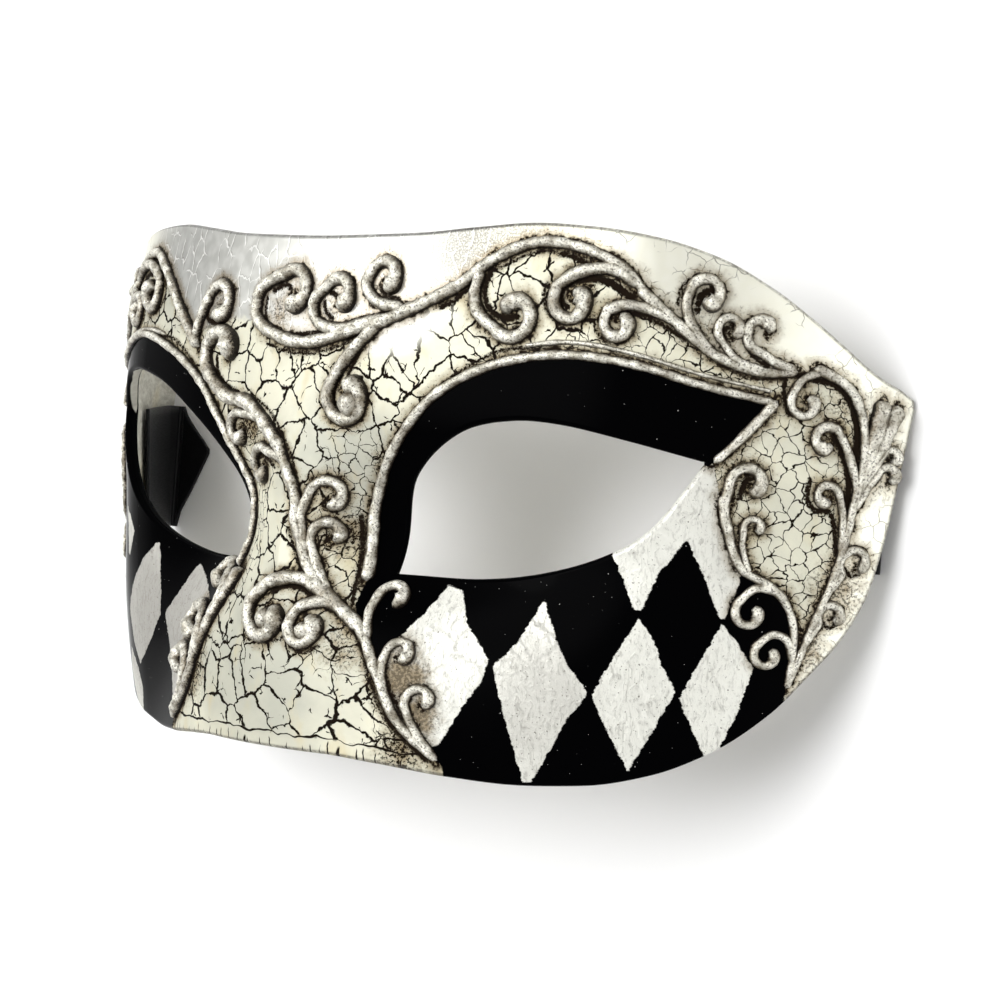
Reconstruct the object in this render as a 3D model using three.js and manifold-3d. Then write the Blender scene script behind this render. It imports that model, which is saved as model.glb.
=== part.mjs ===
// Carnival half mask lying on its back: a moulded shell with two eye holes,
// raised scrollwork, corded eye rims and the ends of two tie ribbons.
//
// The face is drawn on a flat chart, in millimetres: "across" runs round the face from its
// centre line, positive to the wearer's left, and "height" runs up it from eye level.
// The wear frame has x to the wearer's left, y up the face and z out of it.
import * as THREE from 'three';
import Module from 'manifold-3d';

const wasm = await Module();
wasm.setup();

// Shell: its wall, the rows of its mesh and the chart step that its slopes are taken over
const WALL = 2.2;
const ROWS = 18;
const SLOPE_STEP = 0.2;

// Plan of the face: arcs from the centre line round to the temple
const FACE_ARCS = [
  { radius: 153, reach: 52 },
  { radius: 51, reach: 71 },
  { radius: 90, reach: 120 },
];

// Profile of the face: it leans back above and below the level band
const LEVEL_BAND = 8;
const FOREHEAD_RADIUS = 164;
const CHEEK_RADIUS = 219;

// Nose: a ridge that starts between the brows and broadens to its tip
const NOSE_ROOT_HEIGHT = 24;
const NOSE_LENGTH = 64;
const BRIDGE_RISE = 5;
const BRIDGE_HALF_WIDTH = 11;
const BRIDGE_FULL_AT = 0.38;
const BRIDGE_EASE = 1.5;
const TIP_RISE = 11.2;
const TIP_HALF_WIDTH = 36;
const TIP_STARTS_AT = 0.3;
const TIP_EASE = 1.1;
const NOSE_ROUNDNESS = 2.6;
const NOSE_OVERRUN = 1.4;

// Eye socket: a shallow dish
const SOCKET_DEPTH = 6.9;
const SOCKET_ACROSS = 28.7;
const SOCKET_HALF_LENGTH = 25.5;
const SOCKET_HEIGHT = -4.2;
const SOCKET_HALF_HEIGHT = 10.9;

// Outline of one half of the face, a row for each station round it
const OUTLINE = [
  { across: 0, top: 45.6, bottom: -38.0 },
  { across: 12, top: 45.8, bottom: -38.0 },
  { across: 22, top: 46.1, bottom: -38.8 },
  { across: 33, top: 47.0, bottom: -40.2 },
  { across: 44, top: 47.7, bottom: -41.0 },
  { across: 55, top: 47.1, bottom: -40.5 },
  { across: 66, top: 45.5, bottom: -38.4 },
  { across: 76, top: 42.5, bottom: -34.4 },
  { across: 85, top: 37.6, bottom: -28.3 },
  { across: 91, top: 33.2, bottom: -22.7 },
  { across: 96, top: 29.1, bottom: -17.7 },
  { across: 100, top: 25.7, bottom: -11.6 },
  { across: 103, top: 23.6, bottom: -3.0 },
  { across: 105.5, top: 22.3, bottom: 8.3 },
  { across: 107, top: 21.2, bottom: 15.8 },
  { across: 107.8, top: 20.6, bottom: 19.0 },
];

// Stations of the shell's mesh: closer by the nose and at the temple, where the face bends most
const COLUMN_BANDS = [
  { to: 36, count: 9 },
  { to: 96, count: 9 },
  { to: 107.8, count: 4 },
];

// Eye holes: the lids, as chart points from the inner corner to the outer and back. The holes were
// cut by hand: the right one, given here as its mirror image, is taller towards the temple.
const LEFT_EYE = {
  lower: [[19.3, -8.8], [33, -9], [46, -7.4], [58, -4], [66, 0.8], [74, 10.8]],
  upper: [[74, 10.8], [62, 13.8], [51, 16], [42, 16.4], [33, 14.4], [25, 8.6], [20.4, 2], [19.3, -8.8]],
};
const RIGHT_EYE = {
  lower: [[19.3, -8.8], [33, -9.2], [46, -7.2], [56.4, -3.4], [65, 2.6], [75, 14]],
  upper: [[75, 14], [67, 19.6], [57.3, 21.6], [46, 20.2], [37, 17.1], [27.3, 11.8], [21.5, 6], [20, 0.3],
    [19.3, -8.8]],
};
const LID_STEPS = 10;
const CUT_OUTSIDE = 6;
const CUT_INSIDE = 9;

// Relief: strips that are wide at the root and taper to the tip
const RELIEF_GAP = 0.4;
const RELIEF_HEIGHT = 0.6;
const RELIEF_CROWN = 0.46;
const TIP_WIDTH = 0.68;
const TIP_CURL = 0.62;
const CURL_STEP = 45;
const STEPS_PER_SPAN = 4;
const STEP_SAG = 0.3;

// Corded rim over each eye, and the short cord from its end to the hole's outer corner
const RIM_WIDTH = 1.9;
const RIM_INNER = [[15.4, -10.4], [14.5, -3.9], [14.8, 1.8], [17.5, 7.6], [22.4, 14.3], [28.2, 20.1],
  [36.3, 24.3]];
const LEFT_RIM = {
  upper: [...RIM_INNER, [45.1, 26.5], [53.6, 26.9], [63.5, 25.5], [72.9, 22.8], [84.5, 20.1]],
  corner: [[84.9, 20.5], [79.1, 14.4], [75.2, 10.9]],
};
const RIGHT_RIM = {
  upper: [...RIM_INNER, [45.1, 26.9], [53.2, 28.1], [60, 27.2], [66.5, 25.1], [72.9, 22.8], [84.5, 20.1]],
  corner: [[84.9, 20.5], [80.4, 16.6], [76.6, 14.3]],
};

// Scroll tables, a row for each scroll. path is the chart points that the stem passes through,
// root first; the scroll then curls round eye through turn degrees, counter-clockwise if positive.
// A row with no eye is a plain stem.
const FOREHEAD_SCROLLS = [
  {
    path: [[16, 31.6], [0, 27.8], [-12, 30.8], [-12.8, 36.4], [-6, 39.4]],
    eye: [-3.9, 35.9], turn: -330, width: 2.8,
  },
  {
    path: [[17, 32.2], [8, 30.2], [2.4, 31.2], [1.2, 34.6], [4, 37.2]],
    eye: [7, 35.4], turn: -300, width: 2.5,
  },
  {
    path: [[21, 33.8], [15.5, 34.6], [12.7, 37.2], [13.6, 39.8]],
    eye: [16.6, 38.4], turn: -290, width: 2.5,
  },
  { path: [[16, 31.2], [11.5, 27.2], [8, 23.2], [6.5, 20.2]], eye: [11, 19.2], turn: 330, width: 2.6 },
];
const BROW_STEM_LEFT = [
  {
    path: [
      [14, 30.6], [23, 33.9], [31, 37.4], [37.5, 41.8],
      [45, 44.4], [53, 43.5], [60, 40.6], [64, 36.6],
    ],
    width: 2.3,
  },
];
const BROW_STEM_RIGHT = [
  {
    path: [[-30.4, 26.4], [-38, 32.4], [-46, 38.8], [-53, 42.4], [-60, 40.6], [-64, 36.6]],
    width: 2.3,
  },
  { path: [[-31.6, 27.8], [-30.6, 31], [-28.6, 34.4]], eye: [-24.4, 33.6], turn: -300, width: 2.4 },
];
const INNER_BROW_CURL = [
  { path: [[35.2, 40], [34.4, 36], [35.7, 33], [38.6, 30.8]], eye: [42, 33.2], turn: 330, width: 2.5 },
];
const BROW_SCROLLS = [
  { path: [[63, 37.6], [59, 40.2], [53.4, 40], [49.6, 38]], eye: [52, 35.2], turn: 330, width: 2.4 },
  { path: [[62.8, 37.4], [68, 33.2], [73.6, 28.4], [79, 25.6], [84, 24.7], [88.2, 24.9]], width: 2.0 },
  {
    path: [[72.4, 29.6], [67.5, 33.2], [62, 34.8], [58.4, 34.2]],
    eye: [59.9, 31.9], turn: 330, width: 2.1,
  },
  {
    path: [[74.6, 27.8], [72, 31], [70.6, 34.6], [71.4, 37.6]],
    eye: [74.1, 36.6], turn: -300, width: 2.0,
  },
  { path: [[83, 25], [78.6, 26.6], [76.3, 29.4]], eye: [77.8, 31.4], turn: -330, width: 1.6 },
  { path: [[88, 25.1], [85.2, 26], [82.2, 27.8]], eye: [82.7, 31], turn: -270, width: 1.9 },
];
const TEMPLE_SCROLLS = [
  {
    path: [
      [90.8, 25.5], [95.8, 23], [98.4, 18.6], [98.9, 12],
      [97.2, 4], [94.6, -6], [91, -14.5], [87.2, -24],
    ],
    width: 1.8,
  },
  { path: [[92.4, 25], [89, 23.8], [87.2, 21.2]], eye: [89.5, 20], turn: 290, width: 1.6 },
  { path: [[98, 6.5], [96.4, 12], [94.6, 15.8]], eye: [92.6, 14.4], turn: 300, width: 1.8 },
  { path: [[95.4, -3], [95.6, 2.4], [94.9, 6]], eye: [92.8, 5.8], turn: 320, width: 1.5 },
  { path: [[98.4, 7], [100.4, 13.4], [103.4, 20.2]], width: 3.2 },
  { path: [[98.2, 6.5], [101.6, 12], [105, 16]], width: 2.2 },
  { path: [[97.2, 3.5], [99.2, 6.6], [101.2, 9.2]], eye: [103, 8.8], turn: -250, width: 1.6 },
  { path: [[93.6, -9], [95.6, -6.4]], eye: [98, -4.6], turn: -300, width: 1.6 },
  { path: [[90, -17], [92, -14]], eye: [94.2, -12.8], turn: -290, width: 1.6 },
  {
    path: [[76.6, 6], [77.4, 1], [79.6, -5.2], [84.5, -8.3], [87.4, -12], [88.2, -17], [87.4, -23.6]],
    width: 1.7,
  },
  { path: [[78.2, -1.6], [77, 3.4], [77.6, 7.2]], eye: [80.9, 7.6], turn: -290, width: 1.9 },
  { path: [[81, -6.2], [79.9, -2.4], [80, 0.8]], eye: [81.7, 1], turn: -270, width: 1.3 },
  {
    path: [[87.4, -12], [85.6, -9.2], [82.2, -8.4], [79.6, -10.4]],
    eye: [81.2, -12.4], turn: 300, width: 1.7,
  },
  {
    path: [[88, -20], [87.2, -16.6], [84.8, -15.6], [82.5, -17.2]],
    eye: [84, -18.9], turn: 300, width: 1.6,
  },
];
const NOSE_CHAIN = [
  {
    path: [
      [-4, 12], [1.6, 3.6], [3, -2], [5.6, -8], [11, -13.2],
      [17, -17.6], [21, -24.4], [25, -31.8], [31.6, -37.6],
    ],
    width: 2.2,
  },
  {
    path: [[-2, 10], [-12.5, 17], [-20, 18.4], [-26, 22.4], [-27, 26]],
    eye: [-22, 25.4], turn: -270, width: 2.8,
  },
  { path: [[-2, 9], [-9, 14.6], [-15.6, 15.6]], eye: [-16.6, 12.8], turn: 300, width: 2.0 },
  { path: [[2, 3], [-1.5, 8.2], [-6.8, 9.8]], eye: [-9, 7], turn: 320, width: 2.1 },
  { path: [[5, -6.4], [3.6, -1], [4.2, 2.6]], eye: [7.8, 2.8], turn: -290, width: 2.0 },
  { path: [[10.5, -12.8], [7.4, -8.4], [5.6, -5]], eye: [8.4, -3.4], turn: -270, width: 1.9 },
  { path: [[12, -14], [6, -10.6], [0, -11.2], [-4, -14.4]], eye: [0, -16.8], turn: 270, width: 2.7 },
  {
    path: [[17, -17.8], [11.5, -14], [6.6, -14.8], [5, -17.6]],
    eye: [8, -18.2], turn: 290, width: 2.3,
  },
];
const NOSE_SIDE = [
  { path: [[12.4, -10.4], [17, -17.6], [21, -24.4], [25, -31.8], [31.6, -37.6]], width: 2.0 },
];
const NOSE_SIDE_CURLS = [
  { path: [[18.6, -19.6], [17.6, -15.4], [18, -12.6]], eye: [20.4, -12.8], turn: -260, width: 1.8 },
  { path: [[22.8, -28], [21.7, -24], [22, -21]], eye: [24.2, -21.2], turn: -280, width: 1.7 },
  { path: [[31, -37], [28, -33.4], [26, -29.6]], eye: [28.3, -28.4], turn: -280, width: 1.7 },
];

// Resting pose: on the temple tips and the ribbons, with the face leaning this far back
const REST_TILT = 5;
const TIP_TRIM = 0.6;
const TRIM_BLOCK = { width: 260, depth: 160, height: 30 };

// Tie ribbons: glued inside the temple, folded where they meet the surface that the mask lies on,
// with a short end cut to a point, a row for each station of that end
const RIBBON_WIDTH = 23.4;
const RIBBON_THICKNESS = 1;
const RIBBON_GAP = 0.6;
const RIBBON_GLUED = { from: 82, to: 100.6, leftHeight: 5.2, rightHeight: 1.7, steps: 4 };
const RIBBON_FOLD = { radius: 0.8, steps: 4 };
const RIBBON_END = [
  { inward: 0.9, cutBelow: 0.13, cutAbove: 0.07 },
  { inward: 3.6, cutBelow: 0.3, cutAbove: 0.18 },
  { inward: 6.2, cutBelow: 0.49, cutAbove: 0.27 },
  { inward: 8, cutBelow: 0.62, cutAbove: 0.34 },
];

// Colours, roughness and metalness of the finishes
const SILVER = new THREE.MeshStandardMaterial({ color: 0xb9b5aa, roughness: 0.45, metalness: 0.4 });
const CREAM = new THREE.MeshStandardMaterial({ color: 0xd6d2c2, roughness: 0.4, metalness: 0.1 });
const SATIN_BLACK = new THREE.MeshStandardMaterial({ color: 0x0a0a0b, roughness: 0.5, metalness: 0 });

const clamp = THREE.MathUtils.clamp;
const radians = THREE.MathUtils.degToRad;

// Place and heading of the plan curve at a distance round the face
function planAt(across) {
  const side = Math.sign(across);
  let left = Math.abs(across);
  let start = 0;
  let heading = 0;
  let x = 0;
  let z = 0;
  for (const arc of FACE_ARCS) {
    const length = Math.min(left, arc.reach - start);
    const next = heading + length / arc.radius;
    x += arc.radius * (Math.sin(next) - Math.sin(heading));
    z -= arc.radius * (Math.cos(heading) - Math.cos(next));
    heading = next;
    left -= length;
    start = arc.reach;
  }
  return { x: side * x, z, heading: side * heading };
}

// How far the nose stands out of the plan curve
function noseRise(across, height) {
  const down = clamp((NOSE_ROOT_HEIGHT - height) / NOSE_LENGTH, 0, NOSE_OVERRUN);
  const tip = Math.max((down - TIP_STARTS_AT) / (1 - TIP_STARTS_AT), 0);
  const bridge = clamp(down / BRIDGE_FULL_AT, 0, 1);
  const rise = BRIDGE_RISE * bridge ** BRIDGE_EASE + (TIP_RISE - BRIDGE_RISE) * tip ** TIP_EASE;
  const halfWidth = BRIDGE_HALF_WIDTH + (TIP_HALF_WIDTH - BRIDGE_HALF_WIDTH) * tip;
  return rise * Math.exp(-((Math.abs(across) / halfWidth) ** NOSE_ROUNDNESS));
}

// Point of the outer face in the wear frame
function facePoint(across, height) {
  const plan = planAt(across);
  const above = Math.max(height - LEVEL_BAND, 0);
  const below = Math.max(-LEVEL_BAND - height, 0);
  const socketAcross = (Math.abs(across) - SOCKET_ACROSS) / SOCKET_HALF_LENGTH;
  const socketUp = (height - SOCKET_HEIGHT) / SOCKET_HALF_HEIGHT;
  const out = noseRise(across, height)
    - above ** 2 / (2 * FOREHEAD_RADIUS)
    - below ** 2 / (2 * CHEEK_RADIUS)
    - SOCKET_DEPTH * Math.exp(-(socketAcross ** 2) - socketUp ** 2);
  return new THREE.Vector3(
    plan.x + out * Math.sin(plan.heading),
    height,
    plan.z + out * Math.cos(plan.heading),
  );
}

// Outward direction of the face, from small steps along the chart
function faceNormal(across, height) {
  const step = SLOPE_STEP;
  const alongAcross = facePoint(across + step, height).sub(facePoint(across - step, height));
  const alongHeight = facePoint(across, height + step).sub(facePoint(across, height - step));
  return alongAcross.cross(alongHeight).normalize();
}

// Point at a distance out from the face, or into it if negative
function offFace(across, height, distance) {
  return facePoint(across, height).addScaledVector(faceNormal(across, height), distance);
}

// Smooth value of one outline column, by cubic pieces that don't overshoot
function outlineAt(across, column) {
  const reach = Math.abs(across);
  const last = OUTLINE.length - 1;
  const found = OUTLINE.findIndex((row) => row.across >= reach);
  const end = found < 0 ? last : Math.max(found, 1);
  const rise = (i) => {
    const [from, to] = OUTLINE.slice(i, i + 2);
    return (to[column] - from[column]) / (to.across - from.across);
  };
  const slope = (i) => {
    if (i === 0) return 0;
    if (i === last) return rise(last - 1);
    const before = rise(i - 1);
    const after = rise(i);
    return before * after <= 0 ? 0 : (2 * before * after) / (before + after);
  };
  const a = OUTLINE[end - 1];
  const b = OUTLINE[end];
  const span = b.across - a.across;
  const t = clamp((reach - a.across) / span, 0, 1);
  return a[column] * (1 + 2 * t) * (1 - t) ** 2
    + b[column] * t ** 2 * (3 - 2 * t)
    + span * slope(end - 1) * t * (1 - t) ** 2
    - span * slope(end) * t ** 2 * (1 - t);
}

// Mesh from vertices and triangles
function meshGeometry(points, triangles) {
  const geometry = new THREE.BufferGeometry();
  const numbers = points.flatMap((point) => point.toArray());
  geometry.setAttribute('position', new THREE.Float32BufferAttribute(numbers, 3));
  geometry.setIndex(triangles);
  return geometry;
}

// Closed solid through rings of points, each ring counter-clockwise seen from the last ring's end
function loftRings(rings) {
  const count = rings[0].length;
  const points = rings.flat();
  const triangles = [];
  for (let i = 0; i + 1 < rings.length; i += 1) {
    for (let j = 0; j < count; j += 1) {
      const next = (j + 1) % count;
      const a = i * count + j;
      const b = i * count + next;
      triangles.push(a, b, b + count, a, b + count, a + count);
    }
  }
  for (const [start, flip] of [[0, true], [(rings.length - 1) * count, false]]) {
    const middle = points.length;
    const ring = points.slice(start, start + count);
    points.push(ring.reduce((sum, p) => sum.add(p), new THREE.Vector3()).divideScalar(count));
    for (let j = 0; j < count; j += 1) {
      const a = start + j;
      const b = start + ((j + 1) % count);
      triangles.push(middle, flip ? b : a, flip ? a : b);
    }
  }
  return meshGeometry(points, triangles);
}

function toSolid(geometry) {
  const vertProperties = new Float32Array(geometry.attributes.position.array);
  const triVerts = new Uint32Array(geometry.index.array);
  return new wasm.Manifold(new wasm.Mesh({ numProp: 3, vertProperties, triVerts }));
}

function fromSolid(solid) {
  const mesh = solid.getMesh();
  const geometry = new THREE.BufferGeometry();
  geometry.setAttribute('position', new THREE.Float32BufferAttribute(mesh.vertProperties, 3));
  geometry.setIndex(Array.from(mesh.triVerts));
  return geometry;
}

function joined(geometries) {
  return fromSolid(geometries.map(toSolid).reduce((sum, solid) => sum.add(solid)));
}

// Stations round the face, from the right temple to the left
function faceColumns() {
  const half = [0];
  let from = 0;
  for (const { to, count } of COLUMN_BANDS) {
    for (let i = 1; i <= count; i += 1) {
      half.push(THREE.MathUtils.lerp(from, to, i / count));
    }
    from = to;
  }
  return [...half.slice(1).reverse().map((across) => -across), ...half];
}

// The whole wall: an outer and an inner skin joined round the edge
function wallGeometry() {
  const columns = faceColumns();
  const points = [];
  for (const depth of [0, -WALL]) {
    for (const across of columns) {
      const bottom = outlineAt(across, 'bottom');
      const top = outlineAt(across, 'top');
      for (let j = 0; j <= ROWS; j += 1) {
        points.push(offFace(across, bottom + ((top - bottom) * j) / ROWS, depth));
      }
    }
  }
  const stride = ROWS + 1;
  const inner = columns.length * stride;
  const triangles = [];
  const quad = (a, b, c, d) => triangles.push(a, b, c, a, c, d);
  for (let i = 0; i + 1 < columns.length; i += 1) {
    const near = i * stride;
    const far = near + stride;
    for (let j = 0; j < ROWS; j += 1) {
      quad(near + j, far + j, far + j + 1, near + j + 1);
      quad(inner + near + j, inner + near + j + 1, inner + far + j + 1, inner + far + j);
    }
    quad(near, inner + near, inner + far, far);
    quad(near + ROWS, far + ROWS, inner + far + ROWS, inner + near + ROWS);
  }
  const lastColumn = (columns.length - 1) * stride;
  for (let j = 0; j < ROWS; j += 1) {
    quad(j, j + 1, inner + j + 1, inner + j);
    quad(lastColumn + j, inner + lastColumn + j, inner + lastColumn + j + 1, lastColumn + j + 1);
  }
  return meshGeometry(points, triangles);
}

function chartCurve(points) {
  return new THREE.SplineCurve(points.map(([across, height]) => new THREE.Vector2(across, height)));
}

// Block with the eye hole's outline, square to the plan of the face
function eyeCutter(side) {
  const lids = side > 0 ? LEFT_EYE : RIGHT_EYE;
  const lower = chartCurve(lids.lower).getPoints(LID_STEPS).slice(0, -1);
  const upper = chartCurve(lids.upper).getPoints(LID_STEPS).slice(0, -1);
  const outline = [...lower, ...upper];
  if (side < 0) outline.reverse();
  return loftRings([-CUT_INSIDE, CUT_OUTSIDE].map((distance) => outline.map((p) => {
    const { heading } = planAt(side * p.x);
    const outward = new THREE.Vector3(Math.sin(heading), 0, Math.cos(heading));
    return facePoint(side * p.x, p.y).addScaledVector(outward, distance);
  })));
}

// Directions of the resting frame, seen from the wear frame
const REST_UP = new THREE.Vector3(0, Math.sin(radians(REST_TILT)), Math.cos(radians(REST_TILT)));

// Height over the resting surface at which the temple tips are trimmed flat
function restingLevel(geometry) {
  const position = geometry.attributes.position;
  const point = new THREE.Vector3();
  let lowest = Infinity;
  for (let i = 0; i < position.count; i += 1) {
    lowest = Math.min(lowest, point.fromBufferAttribute(position, i).dot(REST_UP));
  }
  return lowest + TIP_TRIM;
}

const WHOLE_WALL = wallGeometry();
const REST_LEVEL = restingLevel(WHOLE_WALL);

// Shell with its eye holes, trimmed where the temple tips rest
function shellGeometry() {
  const { width, depth, height } = TRIM_BLOCK;
  const block = new THREE.BoxGeometry(width, depth, height).toNonIndexed();
  block.rotateX(-radians(REST_TILT));
  const middle = REST_UP.clone().multiplyScalar(REST_LEVEL - height / 2);
  block.translate(middle.x, middle.y, middle.z);
  return fromSolid(
    toSolid(WHOLE_WALL)
      .subtract(toSolid(eyeCutter(1)))
      .subtract(toSolid(eyeCutter(-1)))
      .subtract(toSolid(weld(block))),
  );
}

// Shares the corners of a plain box, so that it is one closed mesh
function weld(geometry) {
  const position = geometry.attributes.position;
  const places = new Map();
  const points = [];
  const triangles = [];
  for (let i = 0; i < position.count; i += 1) {
    const point = new THREE.Vector3().fromBufferAttribute(position, i);
    const key = point.toArray().join();
    if (!places.has(key)) {
      places.set(key, points.length);
      points.push(point);
    }
    triangles.push(places.get(key));
  }
  return meshGeometry(points, triangles);
}

// Smooth chart line through points, in steps as long as keep their chords close to the face
function smoothLine(points) {
  const fine = chartCurve(points).getPoints((points.length - 1) * STEPS_PER_SPAN);
  const places = fine.map((p) => facePoint(p.x, p.y));
  const kept = [fine[0]];
  const nearest = new THREE.Vector3();
  let from = 0;
  for (let i = 2; i < fine.length; i += 1) {
    const chord = new THREE.Line3(places[from], places[i]);
    const sags = places.slice(from + 1, i).map(
      (place) => chord.closestPointToPoint(place, true, nearest).distanceTo(place),
    );
    if (Math.max(...sags) > STEP_SAG) {
      from = i - 1;
      kept.push(fine[from]);
    }
  }
  kept.push(fine[fine.length - 1]);
  return kept;
}

// Middle line of a scroll: its stem, then a spiral that closes in on the eye
function scrollLine(row) {
  const points = row.path.map((p) => [...p]);
  if (row.eye) {
    const [eyeAcross, eyeHeight] = row.eye;
    const [lastAcross, lastHeight] = points[points.length - 1];
    const radius = Math.hypot(lastAcross - eyeAcross, lastHeight - eyeHeight);
    const startAngle = Math.atan2(lastHeight - eyeHeight, lastAcross - eyeAcross);
    const tipRadius = row.width * TIP_WIDTH * TIP_CURL;
    const steps = Math.round(Math.abs(row.turn) / CURL_STEP);
    for (let i = 1; i <= steps; i += 1) {
      const part = i / steps;
      const angle = startAngle + radians(row.turn) * part;
      const reach = radius + (tipRadius - radius) * part;
      points.push([eyeAcross + reach * Math.cos(angle), eyeHeight + reach * Math.sin(angle)]);
    }
  }
  return smoothLine(points);
}

// Raised strip along a chart line, standing just clear of the face
function reliefStrip(line, width) {
  const last = line.length - 1;
  const rings = line.map((point, i) => {
    const ahead = line[Math.min(i + 1, last)];
    const behind = line[Math.max(i - 1, 0)];
    const along = ahead.clone().sub(behind).normalize();
    const here = width * (1 + (TIP_WIDTH - 1) * (i / last));
    const at = (offset, rise) => offFace(
      point.x - along.y * offset,
      point.y + along.x * offset,
      RELIEF_GAP + rise,
    );
    const crown = here * RELIEF_HEIGHT;
    const shoulder = (here * RELIEF_CROWN) / 2;
    return [at(-here / 2, 0), at(here / 2, 0), at(shoulder, crown), at(-shoulder, crown)];
  });
  return loftRings(rings);
}

function mirrored(rows) {
  return rows.map((row) => ({
    ...row,
    path: row.path.map(([across, height]) => [-across, height]),
    eye: row.eye && [-row.eye[0], row.eye[1]],
    turn: row.turn && -row.turn,
  }));
}

function scrollwork(rows) {
  return joined(rows.map((row) => reliefStrip(scrollLine(row), row.width)));
}

function eyeRim(side) {
  const cords = side > 0 ? LEFT_RIM : RIGHT_RIM;
  const strips = [cords.upper, cords.corner].map((points) => {
    const placed = points.map(([across, height]) => [side * across, height]);
    return reliefStrip(smoothLine(placed), RIM_WIDTH);
  });
  return joined(strips);
}

function addPiece(group, name, geometry, material) {
  const mesh = new THREE.Mesh(geometry, material);
  mesh.name = name;
  group.add(mesh);
}

// Scrolls of each ornament; the forehead's lean over to the wearer's left, as the nose's do
const LEFT_BROW = [...BROW_STEM_LEFT, ...FOREHEAD_SCROLLS, ...INNER_BROW_CURL, ...BROW_SCROLLS];
const RIGHT_BROW = [...BROW_STEM_RIGHT, ...mirrored(BROW_SCROLLS)];
const LEFT_NOSE = [...NOSE_CHAIN, ...NOSE_SIDE_CURLS];
const RIGHT_NOSE = mirrored([...NOSE_SIDE, ...NOSE_SIDE_CURLS]);

// Everything that keeps the face's form, turned from the wear frame to the resting pose
const face = new THREE.Group();
addPiece(face, 'face_shell', shellGeometry(), CREAM);
addPiece(face, 'eye_rim_left', eyeRim(1), SILVER);
addPiece(face, 'eye_rim_right', eyeRim(-1), SILVER);
addPiece(face, 'brow_scroll_left', scrollwork(LEFT_BROW), SILVER);
addPiece(face, 'brow_scroll_right', scrollwork(RIGHT_BROW), SILVER);
addPiece(face, 'temple_scroll_left', scrollwork(TEMPLE_SCROLLS), SILVER);
addPiece(face, 'temple_scroll_right', scrollwork(mirrored(TEMPLE_SCROLLS)), SILVER);
addPiece(face, 'nose_scroll_left', scrollwork(LEFT_NOSE), SILVER);
addPiece(face, 'nose_scroll_right', scrollwork(RIGHT_NOSE), SILVER);
face.rotation.x = radians(REST_TILT);
face.position.z = -REST_LEVEL;
face.updateMatrixWorld(true);

// Middle line of a ribbon in the resting frame: down the wall, round the fold and along to the end
function ribbonStations(side) {
  const height = side > 0 ? RIBBON_GLUED.leftHeight : RIBBON_GLUED.rightHeight;
  const onWall = (across) => offFace(
    side * across,
    height,
    -(WALL + RIBBON_GAP + RIBBON_THICKNESS / 2),
  ).applyMatrix4(face.matrixWorld);
  const upFace = new THREE.Vector3(0, 1, 0).transformDirection(face.matrixWorld);
  const upFloor = new THREE.Vector3(0, 1, 0);
  const stations = [];
  for (let i = 0; i <= RIBBON_GLUED.steps; i += 1) {
    const part = i / RIBBON_GLUED.steps;
    const across = THREE.MathUtils.lerp(RIBBON_GLUED.from, RIBBON_GLUED.to, part);
    stations.push({ middle: onWall(across), up: upFace, width: RIBBON_WIDTH });
  }
  const foot = onWall(RIBBON_GLUED.to);
  const slope = foot.clone().sub(onWall(RIBBON_GLUED.to - 1));
  const steepness = Math.atan2(-slope.z, Math.abs(slope.x));
  const { radius, steps } = RIBBON_FOLD;
  const foldStart = RIBBON_THICKNESS / 2 + radius * (1 + Math.cos(steepness));
  const foldX = foot.x + (slope.x * (foldStart - foot.z)) / slope.z - side * radius * Math.sin(steepness);
  const foldZ = RIBBON_THICKNESS / 2 + radius;
  for (let i = 0; i <= steps; i += 1) {
    const angle = THREE.MathUtils.lerp(steepness, Math.PI, i / steps);
    const x = foldX + side * radius * Math.sin(angle);
    const z = foldZ + radius * Math.cos(angle);
    stations.push({ middle: new THREE.Vector3(x, foot.y, z), up: upFloor, width: RIBBON_WIDTH });
  }
  for (const { inward, cutBelow, cutAbove } of RIBBON_END) {
    const y = foot.y + (RIBBON_WIDTH * (cutBelow - cutAbove)) / 2;
    const middle = new THREE.Vector3(foldX - side * inward, y, RIBBON_THICKNESS / 2);
    stations.push({ middle, up: upFloor, width: RIBBON_WIDTH * (1 - cutBelow - cutAbove) });
  }
  return stations;
}

function ribbonGeometry(side) {
  const stations = ribbonStations(side);
  const last = stations.length - 1;
  return loftRings(stations.map(({ middle, up, width }, i) => {
    const ahead = stations[Math.min(i + 1, last)].middle;
    const behind = stations[Math.max(i - 1, 0)].middle;
    const along = ahead.clone().sub(behind).projectOnPlane(up).normalize();
    const thick = along.cross(up).normalize().multiplyScalar(RIBBON_THICKNESS / 2);
    const half = up.clone().multiplyScalar(width / 2);
    const corners = [[-1, -1], [-1, 1], [1, 1], [1, -1]];
    return corners.map(([t, h]) => middle.clone().addScaledVector(thick, t).addScaledVector(half, h));
  }));
}

const mask = new THREE.Group();
mask.add(face);
addPiece(mask, 'ribbon_left', ribbonGeometry(1), SATIN_BLACK);
addPiece(mask, 'ribbon_right', ribbonGeometry(-1), SATIN_BLACK);

// Origin under the middle of the object's box
const box = new THREE.Box3().setFromObject(face, true);
mask.position.set(-(box.min.x + box.max.x) / 2, -(box.min.y + box.max.y) / 2, -box.min.z);

export default mask;
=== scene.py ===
"""Looks of a carnival half mask that lies on its back: painted shell, silver relief, satin ribbons.

The face is drawn on a flat chart in millimetres, as (across, height): across runs round the face
from its centre line, positive to the wearer's left, and height runs up it from eye level.
"""
import math

import bpy
import numpy as np
from mathutils import Matrix, Vector, kdtree
from mathutils.geometry import delaunay_2d_cdt


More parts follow.
